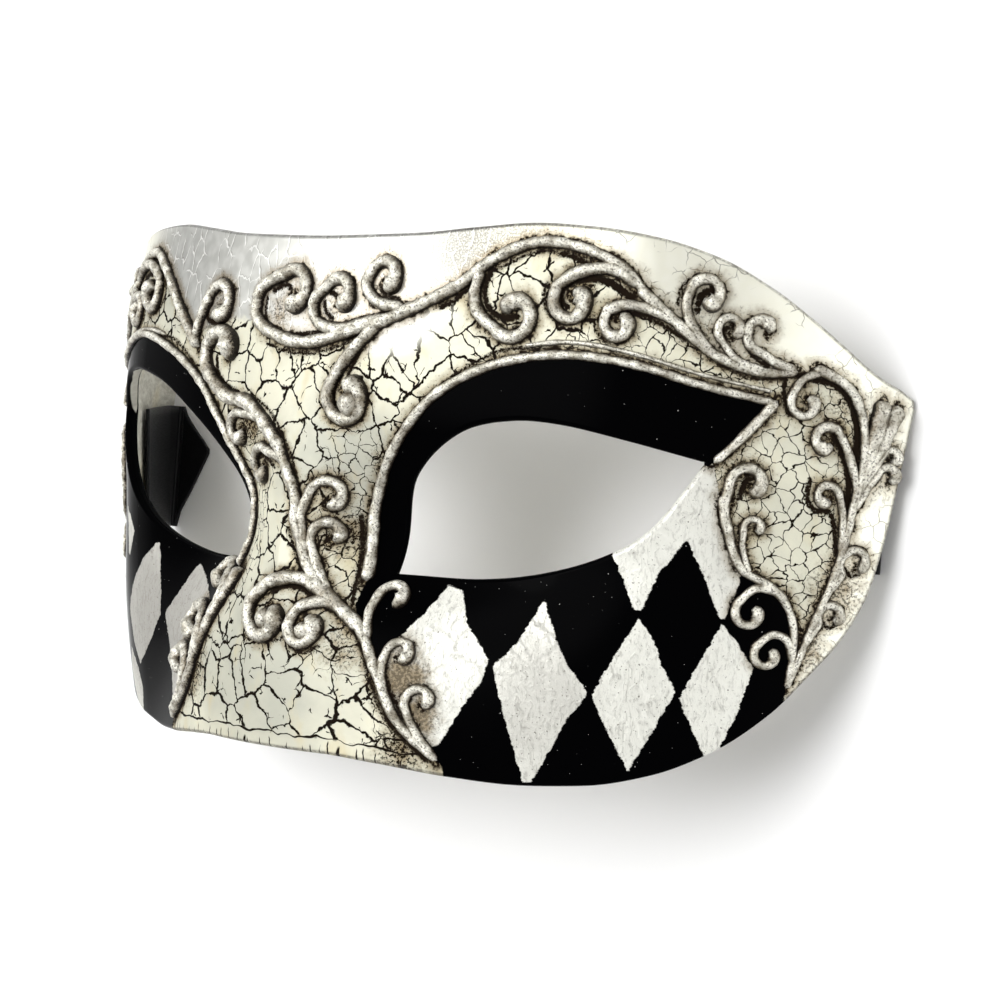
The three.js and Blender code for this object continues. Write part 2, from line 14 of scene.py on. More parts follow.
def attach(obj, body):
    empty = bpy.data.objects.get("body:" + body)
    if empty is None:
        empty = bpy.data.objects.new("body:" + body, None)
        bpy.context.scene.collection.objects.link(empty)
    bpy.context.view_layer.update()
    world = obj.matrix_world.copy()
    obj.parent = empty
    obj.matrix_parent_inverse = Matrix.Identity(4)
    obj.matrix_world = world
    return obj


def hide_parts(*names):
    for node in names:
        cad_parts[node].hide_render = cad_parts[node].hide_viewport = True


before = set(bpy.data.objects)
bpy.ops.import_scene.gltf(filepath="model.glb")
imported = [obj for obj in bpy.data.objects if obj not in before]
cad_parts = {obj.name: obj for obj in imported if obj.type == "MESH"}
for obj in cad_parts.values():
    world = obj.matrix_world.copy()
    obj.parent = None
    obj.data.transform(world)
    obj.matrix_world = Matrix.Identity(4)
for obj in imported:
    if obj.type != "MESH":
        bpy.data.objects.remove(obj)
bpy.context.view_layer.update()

MM = 0.001

# Form of the face, the same values as the solids have
WALL = 2.2
FACE_ARCS = ((153, 52), (51, 71), (90, 120))
LEVEL_BAND = 8
FOREHEAD_RADIUS = 164
CHEEK_RADIUS = 219
NOSE_ROOT_HEIGHT = 24
NOSE_LENGTH = 64
BRIDGE_RISE = 5
BRIDGE_HALF_WIDTH = 11
BRIDGE_FULL_AT = 0.38
BRIDGE_EASE = 1.5
TIP_RISE = 11.2
TIP_HALF_WIDTH = 36
TIP_STARTS_AT = 0.3
TIP_EASE = 1.1
NOSE_ROUNDNESS = 2.6
NOSE_OVERRUN = 1.4
SOCKET_DEPTH = 6.9
SOCKET_ACROSS = 28.7
SOCKET_HALF_LENGTH = 25.5
SOCKET_HEIGHT = -4.2
SOCKET_HALF_HEIGHT = 10.9
SLOPE_STEP = 0.2

# Outline of one half: across, top, bottom
OUTLINE = np.array([
    (0, 45.6, -38.0), (12, 45.8, -38.0), (22, 46.1, -38.8), (33, 47.0, -40.2),
    (44, 47.7, -41.0), (55, 47.1, -40.5), (66, 45.5, -38.4), (76, 42.5, -34.4),
    (85, 37.6, -28.3), (91, 33.2, -22.3), (96, 29.1, -16.8), (100, 25.7, -10.3),
    (103, 23.6, -1.4), (105.5, 22.3, 9.4), (107, 21.2, 15.8), (107.8, 20.6, 19.0),
])
TOP, BOTTOM = 1, 2
FACE_REACH = 107.8

# Eye holes and their corded rims, the right ones as their mirror images
LEFT_LOWER_LID = [(19.3, -8.8), (33, -9), (46, -7.4), (58, -4), (66, 0.8), (74, 10.8)]
LEFT_UPPER_LID = [(74, 10.8), (62, 13.8), (51, 16), (42, 16.4), (33, 14.4), (25, 8.6), (20.4, 2),
                  (19.3, -8.8)]
RIGHT_LOWER_LID = [(19.3, -8.8), (33, -9.2), (46, -7.2), (56.4, -3.4), (65, 2.6), (75, 14)]
RIGHT_UPPER_LID = [(75, 14), (67, 19.6), (57.3, 21.6), (46, 20.2), (37, 17.1), (27.3, 11.8), (21.5, 6),
                   (20, 0.3), (19.3, -8.8)]

RIM_WIDTH = 1.9
RIM_INNER = [(15.4, -10.4), (14.5, -3.9), (14.8, 1.8), (17.5, 7.6), (22.4, 14.3), (28.2, 20.1),
             (36.3, 24.3)]
LEFT_RIM = RIM_INNER + [(45.1, 26.5), (53.6, 26.9), (63.5, 25.5), (72.9, 22.8), (84.5, 20.1)]
RIGHT_RIM = RIM_INNER + [(45.1, 26.9), (53.2, 28.1), (60, 27.2), (66.5, 25.1), (72.9, 22.8),
                         (84.5, 20.1)]
LEFT_CORNER = [(84.9, 20.5), (79.1, 14.4), (75.2, 10.9)]
RIGHT_CORNER = [(84.9, 20.5), (80.4, 16.6), (76.6, 14.3)]
RIMS = {1: (LEFT_RIM, LEFT_CORNER), -1: (RIGHT_RIM, RIGHT_CORNER)}

# Scrolls: the stem's points, the point that it curls round, the turn in degrees and the width
FOREHEAD_SCROLLS = [
    ([(16, 31.6), (0, 27.8), (-12, 30.8), (-12.8, 36.4), (-6, 39.4)], (-3.9, 35.9), -265, 2.6),
    ([(17, 32.2), (8, 30.2), (2.4, 31.2), (1.2, 34.6), (4, 37.2)], (7, 35.4), -250, 2.4),
    ([(21, 33.8), (15.5, 34.6), (12.7, 37.2), (13.6, 39.8)], (16.6, 38.4), -255, 2.4),
    ([(16, 31.2), (11.5, 27.2), (8, 23.2), (6.5, 20.2)], (11, 19.2), 330, 2.6),
]
BROW_STEM_LEFT = [
    ([(14, 30.6), (23, 33.9), (31, 37.4), (37.5, 41.8), (45, 44.4), (53, 43.5), (60, 40.6), (64, 36.6)],
     None, 0, 2.3),
]
BROW_STEM_RIGHT = [
    ([(-30.4, 26.4), (-38, 32.4), (-46, 38.8), (-53, 42.4), (-60, 40.6), (-64, 36.6)], None, 0, 2.3),
    ([(-31.6, 27.8), (-30.6, 31), (-28.6, 34.4)], (-24.4, 33.6), -300, 2.4),
]
INNER_BROW_CURL = [
    ([(35.2, 40), (34.4, 36), (35.7, 33), (38.6, 30.8)], (42, 33.2), 330, 2.5),
]
BROW_SCROLLS = [
    ([(63, 37.6), (59, 40.2), (53.4, 40), (49.6, 38)], (52, 35.2), 330, 2.4),
    ([(62.8, 37.4), (68, 33.2), (73.6, 28.4), (79, 25.6), (84, 24.7), (88.2, 24.9)], None, 0, 2.0),
    ([(72.4, 29.6), (67.5, 33.2), (62, 34.8), (58.4, 34.2)], (59.9, 31.9), 330, 2.1),
    ([(74.6, 27.8), (72, 31), (70.6, 34.6), (71.4, 37.6)], (74.1, 36.6), -300, 2.0),
    ([(83, 25), (78.6, 26.6), (76.3, 29.4)], (77.8, 31.4), -330, 1.6),
    ([(88, 25.1), (85.2, 26), (82.2, 27.8)], (82.7, 31), -270, 1.9),
]
TEMPLE_SCROLLS = [
    ([(90.8, 25.5), (95.8, 23), (98.4, 18.6), (98.9, 12), (97.2, 4), (94.6, -6), (91, -14.5),
      (87.2, -24)], None, 0, 1.8),
    ([(92.4, 25), (89, 23.8), (87.2, 21.2)], (89.5, 20), 290, 1.6),
    ([(98, 6.5), (96.4, 12), (94.6, 15.8)], (92.6, 14.4), 300, 1.8),
    ([(95.4, -3), (95.6, 2.4), (94.9, 6)], (92.8, 5.8), 320, 1.5),
    ([(98.4, 7), (100.0, 12.4), (101.2, 17), (102.2, 20.6)], None, 0, 3.4),
    ([(98.6, 8), (101.4, 13), (103.6, 17.4), (104.6, 19.8)], None, 0, 3.2),
    ([(98.2, 6.5), (100.6, 10.2), (102.4, 12.6)], (103.4, 11.8), -240, 1.6),
    ([(97.2, 3.5), (99.2, 6.6), (101.2, 9.2)], (103, 8.8), -250, 1.6),
    ([(93.6, -9), (95.6, -6.4)], (98, -4.6), -300, 1.6),
    ([(90, -17), (92, -14)], (94.2, -12.8), -290, 1.6),
    ([(76.6, 6), (77.4, 1), (79.6, -5.2), (84.5, -8.3), (87.4, -12), (88.2, -17), (87.4, -23.6)],
     None, 0, 1.7),
    ([(78.2, -1.6), (77, 3.4), (77.6, 7.2)], (80.9, 7.6), -290, 1.9),
    ([(81, -6.2), (79.9, -2.4), (80, 0.8)], (81.7, 1), -270, 1.3),
    ([(87.4, -12), (85.6, -9.2), (82.2, -8.4), (79.6, -10.4)], (81.2, -12.4), 300, 1.7),
    ([(88, -20), (87.2, -16.6), (84.8, -15.6), (82.5, -17.2)], (84, -18.9), 300, 1.6),
]
NOSE_CHAIN = [
    ([(-4, 12), (1.6, 3.6), (3, -2), (5.6, -8), (11, -13.2), (17, -17.6), (21, -24.4), (25, -31.8),
      (31.6, -37.6)], None, 0, 2.2),
    ([(-2, 10), (-12.5, 17), (-20, 18.4), (-26, 22.4), (-27, 26)], (-22, 25.4), -200, 3.0),
    ([(-2, 9), (-9, 14.6), (-15.6, 15.6)], (-16.6, 12.8), 300, 2.0),
    ([(2, 3), (-1.5, 8.2), (-6.8, 9.8)], (-9, 7), 320, 2.1),
    ([(5, -6.4), (3.6, -1), (4.2, 2.6)], (7.8, 2.8), -290, 2.0),
    ([(10.5, -12.8), (7.4, -8.4), (5.6, -5)], (8.4, -3.4), -270, 1.9),
    ([(12, -14), (6, -10.6), (0, -11.2), (-4, -14.4)], (0, -16.8), 270, 2.7),
    ([(17, -17.8), (11.5, -14), (6.6, -14.8), (5, -17.6)], (8, -18.2), 290, 2.3),
]
NOSE_SIDE = [
    ([(12.4, -10.4), (17, -17.6), (21, -24.4), (25, -31.8), (31.6, -37.6)], None, 0, 2.6),
]
NOSE_SIDE_CURLS = [
    ([(18.6, -19.6), (17.6, -15.4), (18, -12.6)], (20.4, -12.8), -260, 1.8),
    ([(22.8, -28), (21.7, -24), (22, -21)], (24.2, -21.2), -280, 1.7),
    ([(31, -37), (28, -33.4), (26, -29.6)], (28.3, -28.4), -280, 1.7),
]
NOSE_SIDE_CURLS_RIGHT = [
    ([(18.6, -19.6), (17.4, -15.4), (18.4, -11.8)], (21.2, -12.6), -260, 2.5),
    ([(22.8, -28), (21.7, -23.4), (22.6, -19.6)], (25.8, -20.6), -280, 2.7),
    ([(31, -37), (27.6, -33.4), (26, -28.8)], (29.2, -27.8), -280, 2.7),
]
TIP_WIDTH = 0.68
TIP_CURL = 0.62
CURL_STEP = 20
SPANS = 8

# Resting pose: the lean of the face, then its shift up the surface and over it
REST_TILT = math.radians(5)
REST_SHIFT_Y = -4.0523
REST_SHIFT_Z = 45.9306

# Painted areas. The black one of each half holds the eye band and the cheek.
BLACK_CHEEK = [(77.4, 1), (79.6, -5.2), (84.5, -8.3), (87.4, -12), (88.2, -17), (87.2, -24), (86, -32),
               (60, -48), (34, -46), (32.4, -38.6), (25, -31.8), (21, -24.4), (17, -17.6), (15.0, -14)]
LEFT_BLACK = LEFT_RIM + LEFT_CORNER[1:] + [(76.2, 6)] + BLACK_CHEEK
RIGHT_BLACK = RIGHT_RIM + RIGHT_CORNER[1:] + [(76.4, 8)] + BLACK_CHEEK
OUTER_DIAMONDS = [
    [(77, -14), (79.3, -16.8), (82, -21), (79.4, -28.5), (76.5, -34.6), (74.5, -34.6), (70.5, -26),
     (73.8, -19.5)],
    [(58.6, -2.4), (64.4, 1.6), (68.4, 6.4), (72.6, 10.4), (75.4, 8), (71.8, -0.4), (67, -6.5),
     (64.4, -12.3), (63.2, -12.3), (61.4, -7.8)],
    [(71.4, -1.4), (74, -6.5), (76.6, -13.2), (77.4, -13.2), (79.4, -8), (80, -5.5), (77.6, 1),
     (76.4, 6), (75, 11), (73, 8.6)],
]
LEFT_DIAMONDS = [
    [(28.5, -10.4), (31.5, -11), (34, -16), (36.5, -18.5), (38.8, -21.3), (38, -24.5), (35, -29),
     (31.7, -35.2), (29.5, -36), (24, -30), (20.5, -22), (24, -18), (27, -13.5)],
    [(47.5, -11.5), (49.6, -15.5), (52, -20.5), (56, -25.5), (52, -30.5), (46.5, -40.3), (45.2, -40.3),
     (42.5, -32), (39.5, -22.3), (43.5, -18.5)],
    [(64, -13.5), (66.5, -16.8), (67.6, -20.5), (70, -24.5), (67, -30), (62.5, -37.5), (59.5, -32),
     (56.5, -26), (60.2, -19.5)],
] + OUTER_DIAMONDS
RIGHT_DIAMONDS = [
    [(35.4, -11.4), (31, -13.5), (24, -16.6), (19, -19.5), (22, -26), (27, -34), (31.5, -38.5),
     (34, -34.5), (38.8, -26.2), (42.4, -21), (38.6, -16.8)],
    [(50.4, -8.8), (48.8, -11.4), (45.6, -17.2), (44.4, -21.2), (49.2, -26.8), (55.8, -31.6),
     (59.4, -28), (62, -22), (59, -17), (54.8, -12)],
    [(57.6, -32.4), (55.2, -36), (56.4, -40.5), (60, -40.5), (66, -34), (63, -29)],
    [(61.4, -7.8), (65.4, -5), (68.6, -3.4), (67, -6.5), (64.4, -12.3), (63.2, -12.3)],
    [(71.4, -1.4), (74, -6.5), (76.6, -13.2), (77.4, -13.2), (79.4, -8), (80, -5.5), (77.6, 1),
     (75, 3.4)],
    OUTER_DIAMONDS[0],
]

# Painted shade: dark lines in the crevices, under the stems and between the curls; chart line and half its
# width, first those of both halves
SHADE_LINES_BOTH = [
    ([(86.2, 24.3), (86.0, 21), (86.8, 18.4)], 0.45),
    ([(90.5, 23.8), (94, 23), (96.5, 20.5), (97.6, 16.5), (97.4, 12), (96.5, 8), (96.3, 4)], 0.55),
    ([(94, 15.3), (95.3, 12.5), (96.4, 9), (96.3, 5), (96, -0.5)], 0.6),
    ([(75, 26.8), (79, 24.4), (82, 23.8), (86, 24.2), (89.5, 24.6)], 0.3),
    ([(69.2, 35.0), (69.9, 37.8), (72.2, 39.5), (75, 39.5)], 0.3),
    ([(72.3, 34), (73, 36.6), (75, 37.4)], 0.5),
    ([(76.8, 28.6), (76.6, 31), (78, 32)], 0.4),
    ([(80.7, 31.5), (80.4, 29), (81.5, 26.9), (83.5, 25.8)], 0.4),
    ([(60, 33.4), (63, 33.4), (66, 32.2), (68, 31.2), (70.5, 29.6)], 0.4),
    ([(52, 38.6), (55, 38.9), (58, 38.2), (60.4, 36.8), (62, 35.9)], 0.65),
    ([(50, 37.5), (49.9, 35.5), (51, 34.4)], 0.5),
    ([(47.2, 38.2), (46.7, 35.5), (48, 33), (51, 31.6)], 0.3),
    ([(55.7, 33), (56, 31), (58, 29.0), (61, 29.0)], 0.3),
    ([(99.5, 13), (99.8, 16), (100.2, 18.6)], 0.3),
    ([(99.3, 9.6), (101.4, 13.2), (103.2, 16.2)], 0.3),
    ([(90.2, 8.3), (89.8, 6), (90.8, 3.8), (93.5, 3.2), (94.4, 0), (94.6, -3)], 0.45),
    ([(75.6, 5), (76.5, 1), (79.0, -5)], 0.25),
    ([(79.2, 5.5), (80.2, 8.2), (81.6, 8.6)], 0.45),
    ([(87.9, -13), (88.8, -18), (88.6, -21)], 0.35),
    ([(96, -5.4), (97.2, -6.6), (98.6, -6.2)], 0.35),
    ([(92.4, -13.4), (93.6, -14.6), (95, -14)], 0.35),
    ([(19.2, 11.2), (23.6, 16.9), (29.6, 21.9), (35.6, 25.6), (41, 27.6), (50, 28.1)], 0.3),
    ([(12.6, 0), (13.2, -5), (13.9, -10), (14.6, -14)], 0.4),
    ([(14, -15.8), (18, -20.6), (20.0, -25.5), (23.6, -32), (30, -37.8)], 0.3),
    ([(21.5, -20.8), (22.6, -25), (24.4, -28.6), (27.2, -32.4)], 0.4),
]
SHADE_LINE_STEP = 0.25
SHADE_LINES_ONCE = [
    ([(28, 34), (31, 35.4), (33.6, 37.8)], 0.45),
    ([(36.6, 39.6), (39.5, 40.8), (42, 42), (45, 42.9), (48, 42.9), (51, 42.0)], 0.3),
    ([(49, 42.6), (51.5, 42.0), (53.5, 41.2)], 0.5),
    ([(37.2, 39.8), (36.2, 38), (36.3, 35.5), (37.9, 33.4), (40, 32.5), (42.5, 32.7)], 0.5),
    ([(-11.4, 35), (-11.3, 32.5), (-9.8, 30.4), (-6, 29.2), (-1, 29.2), (6, 29.8)], 0.4),
    ([(-9.8, 36.2), (-7, 37.2), (-5.4, 36.6)], 0.5),
    ([(3.3, 34.5), (3.8, 33), (5.5, 31.8)], 0.45),
    ([(4.5, 36), (6, 35.6)], 0.45),
    ([(-10, 27.4), (-4, 26.2), (2, 26.2), (8, 27.5), (12, 29.4)], 0.3),
    ([(9, 31.2), (13, 32.3), (17.5, 33)], 0.3),
    ([(15.4, 36.8), (17, 35.7), (19.5, 35.2)], 0.4),
    ([(12.4, 26.6), (10.2, 22.6), (11, 21.5), (13.2, 22.4)], 0.45),
    ([(4.9, 20), (5.6, 17.5), (8.2, 15.2), (12, 14.6)], 0.3),
    ([(-29.2, 32), (-28, 30.9), (-25, 30.6), (-22.5, 31.2)], 0.55),
    ([(-28.4, 36.3), (-24, 37.2), (-20.4, 36.2)], 0.3),
    ([(-24.4, 24.8), (-23.3, 22), (-21, 20.2), (-17, 18.9)], 0.5),
    ([(-18.2, 14.6), (-18.2, 12.8), (-16.6, 11.8)], 0.4),
    ([(-12.4, 6.5), (-11, 8.2), (-8, 8.7), (-4.5, 7.2)], 0.4),
    ([(-13, 18.6), (-8, 16.6), (-4, 13.6), (0, 8.9), (2, 4.8)], 0.3),
    ([(0.5, -13), (2, -11.9), (5, -11.8), (8, -13)], 0.5),
    ([(4.2, -17.5), (4.2, -19.6), (1.8, -20.6), (-3.6, -19.8)], 0.3),
    ([(5.6, -21.4), (8.5, -22), (11, -20.7)], 0.3),
    ([(1.2, -2.4), (3.4, -7), (6, -9.9)], 0.3),
]

# Brown stains in the paint: place, radius and strength
STAINS = [
    (-7.5, 32.8, 4.2, 0.55), (5.5, 33.6, 3.0, 0.5), (15.8, 36.6, 2.2, 0.4), (11, -3, 4.5, 0.7),
    (25, -25, 5.0, 0.9), (28, -31, 4.0, 0.9), (26, -36, 5.0, 0.7), (15, -21, 5.0, 0.5), (18, 9, 4.0, 0.5),
    (40, 29, 4.0, 0.3), (95, -9, 6.0, 0.6), (101, 9, 6.0, 0.5), (90, -18, 5.0, 0.6), (79, 9, 4.0, 0.5),
    (53.5, 37.5, 2.5, 0.9), (-13, 14, 4.0, 0.8), (-25, 30, 5.0, 0.6), (-95, -9, 6.0, 0.6),
    (-101, 9, 6.0, 0.5), (-22, -28, 6.0, 0.7), (72, 31, 4.0, 0.4), (96, 20, 4.0, 0.5),
]

# Greyer paint, partly its own tone and partly painted shade on the far side and the nose: place, radii and
# strength
GREY_PAINT_AND_SHADE = [(10, 8, 13, 13, 1.0), (88, 6, 14, 22, 0.4), (-88, 6, 14, 22, 1.0), (0, -24, 20, 16, 1.0),
              (47.5, -25, 9, 17, 0.5), (-45, -22, 26, 20, 1.0), (-54, 42, 26, 16, 1.0)]

# Smooth pearly band: its lower edge at one temple, the same mirrored at the other, and over the brows
SMOOTH_TEMPLE = [(86, -30), (87.2, -24), (91, -14.5), (94.6, -6), (97.2, 4), (98.9, 12), (98.4, 18.6),
                 (95.8, 23), (90.8, 25.2), (84, 24.7), (79, 25.6), (73.6, 28.4), (68, 33.2), (64, 36.6),
                 (60, 40.6)]
SMOOTH_BROWS = [(53, 43.5), (45, 44.4), (37.5, 41.8), (31, 37.4), (23, 33.9), (16, 31.6), (0, 27.8),
                (-12, 30.8), (-20, 31.5), (-31.5, 29), (-38, 32.4), (-46, 38.8), (-53, 42.4)]
SMOOTH_OUTSIDE = [(-120, -30), (-120, 60), (120, 60), (120, -30)]
SMOOTH_AREA = SMOOTH_TEMPLE + SMOOTH_BROWS + [(-a, h) for a, h in reversed(SMOOTH_TEMPLE)] + SMOOTH_OUTSIDE

# Soft spots on the chart: place, radii and how sharply they fade each way
FINE_BESIDE_NOSE = ((12, 1), (6, 16), (2, 4))
FINE_OVER_RIM = ((66, 27), (16, 5), (4, 4))
COARSE_LOW_NOSE = ((0, -32), (26, 12), (4, 2))
RUBBED_PEARL = ((37, 44), (13, 6), (4, 4))
# Painted highlight: a whiter patch below the brow stem with its cracks hidden, and how it slants with
# height
GLARE_SPOT = ((21, 30), (6, 3.6), (4, 4))
GLARE_SLANT = 1.2

# Where the cracks turn fine, the pearl turns silver, the nose's own edge runs and the paper is bare
FINE_FROM = 72
FINE_EASE = 4
SILVER_MIDDLE = -10
SILVER_REACH = 46
SILVER_EASE = 3
NOSE_EDGE_REACH = 31
NOSE_EDGE_TOP = -20
BARE_FROM = 11
BARE_FULL = 16

# Cells between the cracks and the nose edge's own cracks, in millimetres
CRACK_CELL = 5.0
SMALL_CELL = 2.3
LARGE_CELL = 6.0
SPUR_CELL = 3.0
HAIR_CELL = 2.6
CREASE_CELL = 2.8
NOSE_CRACK_HEIGHT = 2.6
TICK_SPACING = 2.4
TICK_HALF_WIDTH = 0.10

# Relief: section and rise, then shares of a strip's width, and the blades from this width up
SECTION_POINTS = 11
RELIEF_RISE = 0.52
RELIEF_FOOT = 0.3
FOOT_LEVEL = 0.8
WAVER = 0.06
WAVER_PACE = (0.9, 2.3)
LUMP = 0.05
LUMP_PACE = (3.1, 1.3)
CURL_START = 0.92
CURL_GROWTH = 0.1
KNOB = 0.6
KNOB_BACK = 0.55
KNOB_SPREAD = 0.85
STEM_START = 1.08
BULB_ENDS = 0.5
BULB_SWELL = 1.1
BLADE_START = 0.4
BLADE_GROWTH = 0.95
CURL_END = 0.95
STEM_END = 0.5
START_ROUND = 0.6
THINNEST = 0.06
LEAF_WIDTH = 3
STEM_FOOT = 0.5
BLADE_FOOT = 0.25
CORD_STEP = 0.35
RIM_STEP = 0.4
BULB_STEP = 0.3

# Full bulbs that the low curls close round: the piece, both ends and the width
BULBS = [
    ("brow_scroll_left", (8.6, 18.4), (14.0, 17.8), 3.7),
    ("nose_scroll_left", (-2.6, -17.1), (2.0, -17.4), 2.6),
    ("nose_scroll_left", (6.0, -18.2), (9.8, -19.0), 2.4),
]

# Thin second line outside the eye's cord
SECOND_RIM = [(44, 28.2), (50, 28.9), (56, 28.6), (64, 27), (73, 24.4), (79.5, 22.9), (84.2, 21.9)]
SECOND_RIM_WIDTH = 0.9

# Ribbons, the same values as the solids have, drawn thinner; the end's rows: inward, cut below, cut above
RIBBON_WIDTH = 23.4
RIBBON_THICKNESS = 1
RIBBON_HALF_DRAWN = 0.3
RIBBON_LOWEST = 0.02
RIBBON_GAP = 0.6
GLUED_FROM = 82
GLUED_TO = 100.6
GLUED_HEIGHT_LEFT = 5.2
GLUED_HEIGHT_RIGHT = 1.7
FOLD_RADIUS = 0.8
RIBBON_END = [(0, 0, 0), (0.9, 0.13, 0.07), (3.6, 0.3, 0.18), (6.2, 0.49, 0.27), (8, 0.62, 0.34)]
RIBBON_ACROSS = 15
GLUED_STATIONS = 26
FOLD_STATIONS = 12
END_STATIONS = 16

# Floor
FLOOR_HALF = 3.0

# Light: a surround bright overhead, low down and at the near side, and a far light that only glosses
OVERHEAD = 5.6
OVERHEAD_TOWARDS = (-0.22, 0.25, 0.943)
OVERHEAD_RISE = (0.84, 0.98)
BETWEEN = 0.38
LOW_DOWN = 1.0
LOW_RISE = (0.45, 0.18)
SIDE = 2.1
SIDE_TOWARDS = (0.99, -0.1, 0.05)
SIDE_RISE = (0.74, 0.97)
FAR_LIGHT_PLACE = (-0.77, 0.23, 0.92)
FAR_LIGHT_AIM = (0, 0, 0.03)
FAR_LIGHT_SIZE = 0.6
FAR_LIGHT_WATTS = 4.5

# Camera: the photo's view, fitted to the face as worn
VIEW_AZIMUTH = math.radians(43.94)
VIEW_ELEVATION = math.radians(4.44)
VIEW_ROLL = math.radians(0.72)
VIEW_DISTANCE = 493.53
VIEW_TARGET = np.array([20.0, 0.0, -20.0])
FOCAL_PIXELS = 2990.98
AXIS_PIXEL = (471.52, 513.26)
IMAGE_PIXELS = 1000
SENSOR = 36.0
CLIP_START = 0.01

# Mesh: heights that it spans, spacing outside, inside and along the edges, and the edges' round
CHART_LOW = -42
CHART_HIGH = 49
FINE = 0.52
COARSE = 1.7
EDGE_STEP = 0.45
EDGE_RING = 0.4
EDGE_ROUND = 0.5
EDGE_PROFILE = 6
EDGE_FULLNESS = 0.6
OUTLINE_POINTS = 900
LID_SPANS = 20

# Colours
CREAM = (0.45, 0.45, 0.38)
CREAM_PALE = (0.66, 0.645, 0.52)
CREAM_WARM = (0.55, 0.475, 0.28)
PEARL = (0.46, 0.46, 0.43)
# Greyer pearl, partly painted shade on the far side
PEARL_GREY_AND_SHADE = (0.33, 0.33, 0.31)
# Pale pearl, in patches and as the painted highlight along one side of each crease
PEARL_PALE_AND_HIGHLIGHT = (0.85, 0.85, 0.82)
PEARL_CREAM = (0.78, 0.77, 0.66)
# Dark streaks and hairlines in the pearl, also the painted shade along the other side of each crease
PEARL_STREAK_AND_SHADE = (0.10, 0.09, 0.07)
CRACK = (0.010, 0.007, 0.005)
# Near black: painted shade beside the relief, in its hollows and at its foot, and dark specks
DARK_SHADE_AND_SPECKS = (0.012, 0.008, 0.005)
# Brown of the stains and specks, also of the painted shade beside the relief
STAIN_AND_SHADE_BROWN = (0.20, 0.145, 0.07)
EDGE_WEAR = (0.06, 0.055, 0.05)
LACQUER = (0.0008, 0.0008, 0.001)
DUST = (0.35, 0.35, 0.33)
LEAF = (0.72, 0.72, 0.66)
# Greyer silver leaf, partly painted shade on the far side
LEAF_GREY_AND_SHADE = (0.38, 0.37, 0.34)
LEAF_HAIR = (0.20, 0.19, 0.17)
SILVER = (0.50, 0.48, 0.405)
SILVER_PALE = (0.86, 0.84, 0.75)
SILVER_PIT = (0.08, 0.07, 0.055)
# Brown patches in the silver, also its painted shade down the cords' sides
SILVER_BROWN_AND_SHADE = (0.13, 0.10, 0.06)
PAPER = (0.58, 0.57, 0.50)
PAPER_DULL = (0.38, 0.365, 0.31)
SATIN = (0.008, 0.008, 0.009)
SATIN_DARK = (0.002, 0.002, 0.002)
FLOOR_WHITE = (0.95, 0.95, 0.95)
FLOOR_DULL = (0.93, 0.93, 0.93)
# Painted highlight: the whiter cream of the patch below the brow stem
CREAM_GLARE = (0.95, 0.95, 0.92)

# Share of metal in the paints
CREAM_METAL = 0.14
PEARL_METAL = 0.45
LEAF_METAL = 0.3
RELIEF_METAL = 0.7


def plan_at(across):
    """Place and heading of the plan curve at distances round the face."""
    left = np.abs(across)
    start = 0.0
    heading = np.zeros_like(left)
    x = np.zeros_like(left)
    z = np.zeros_like(left)
    for radius, reach in FACE_ARCS:
        length = np.minimum(left, reach - start)
        turned = heading + length / radius
        x += radius * (np.sin(turned) - np.sin(heading))
        z -= radius * (np.cos(heading) - np.cos(turned))
        heading = turned
        left = left - length
        start = reach
    side = np.sign(across)
    return side * x, z, side * heading


def face_point(chart):
    """Points of the outer face, in millimetres, as worn: x left, y up, z out."""
    across = chart[:, 0]
    height = chart[:, 1]
    down = np.clip((NOSE_ROOT_HEIGHT - height) / NOSE_LENGTH, 0, NOSE_OVERRUN)
    tip = np.maximum((down - TIP_STARTS_AT) / (1 - TIP_STARTS_AT), 0)
    bridge = np.clip(down / BRIDGE_FULL_AT, 0, 1)
    rise = BRIDGE_RISE * bridge ** BRIDGE_EASE + (TIP_RISE - BRIDGE_RISE) * tip ** TIP_EASE
    half_width = BRIDGE_HALF_WIDTH + (TIP_HALF_WIDTH - BRIDGE_HALF_WIDTH) * tip
    out = rise * np.exp(-(np.abs(across) / half_width) ** NOSE_ROUNDNESS)
    out -= np.maximum(height - LEVEL_BAND, 0) ** 2 / (2 * FOREHEAD_RADIUS)
    out -= np.maximum(-LEVEL_BAND - height, 0) ** 2 / (2 * CHEEK_RADIUS)
    socket_across = (np.abs(across) - SOCKET_ACROSS) / SOCKET_HALF_LENGTH
    socket_up = (height - SOCKET_HEIGHT) / SOCKET_HALF_HEIGHT
    out -= SOCKET_DEPTH * np.exp(-socket_across ** 2 - socket_up ** 2)
    x, z, heading = plan_at(across)
    return np.column_stack([x + out * np.sin(heading), height, z + out * np.cos(heading)])


def face_normal(chart):
    aside = np.array([SLOPE_STEP, 0])
    up = np.array([0, SLOPE_STEP])
    normal = np.cross(face_point(chart + aside) - face_point(chart - aside),
                      face_point(chart + up) - face_point(chart - up))
    return normal / np.linalg.norm(normal, axis=1, keepdims=True)


def off_face(chart, distance):
    """Points at distances out from the face, or into it if negative."""
    return face_point(chart) + face_normal(chart) * np.reshape(distance, (-1, 1))


def turned(points):
    """Points or directions as worn, leaned as the mask lies."""
    cos, sin = math.cos(REST_TILT), math.sin(REST_TILT)
    return points @ np.array([[1, 0, 0], [0, cos, sin], [0, -sin, cos]])


def to_row(points):
    """From millimetres as worn to metres in the resting pose, on or above the surface."""
    placed = turned(points) + (0, REST_SHIFT_Y, REST_SHIFT_Z)
    placed[:, 2] = np.maximum(placed[:, 2], 0)
    return placed * MM


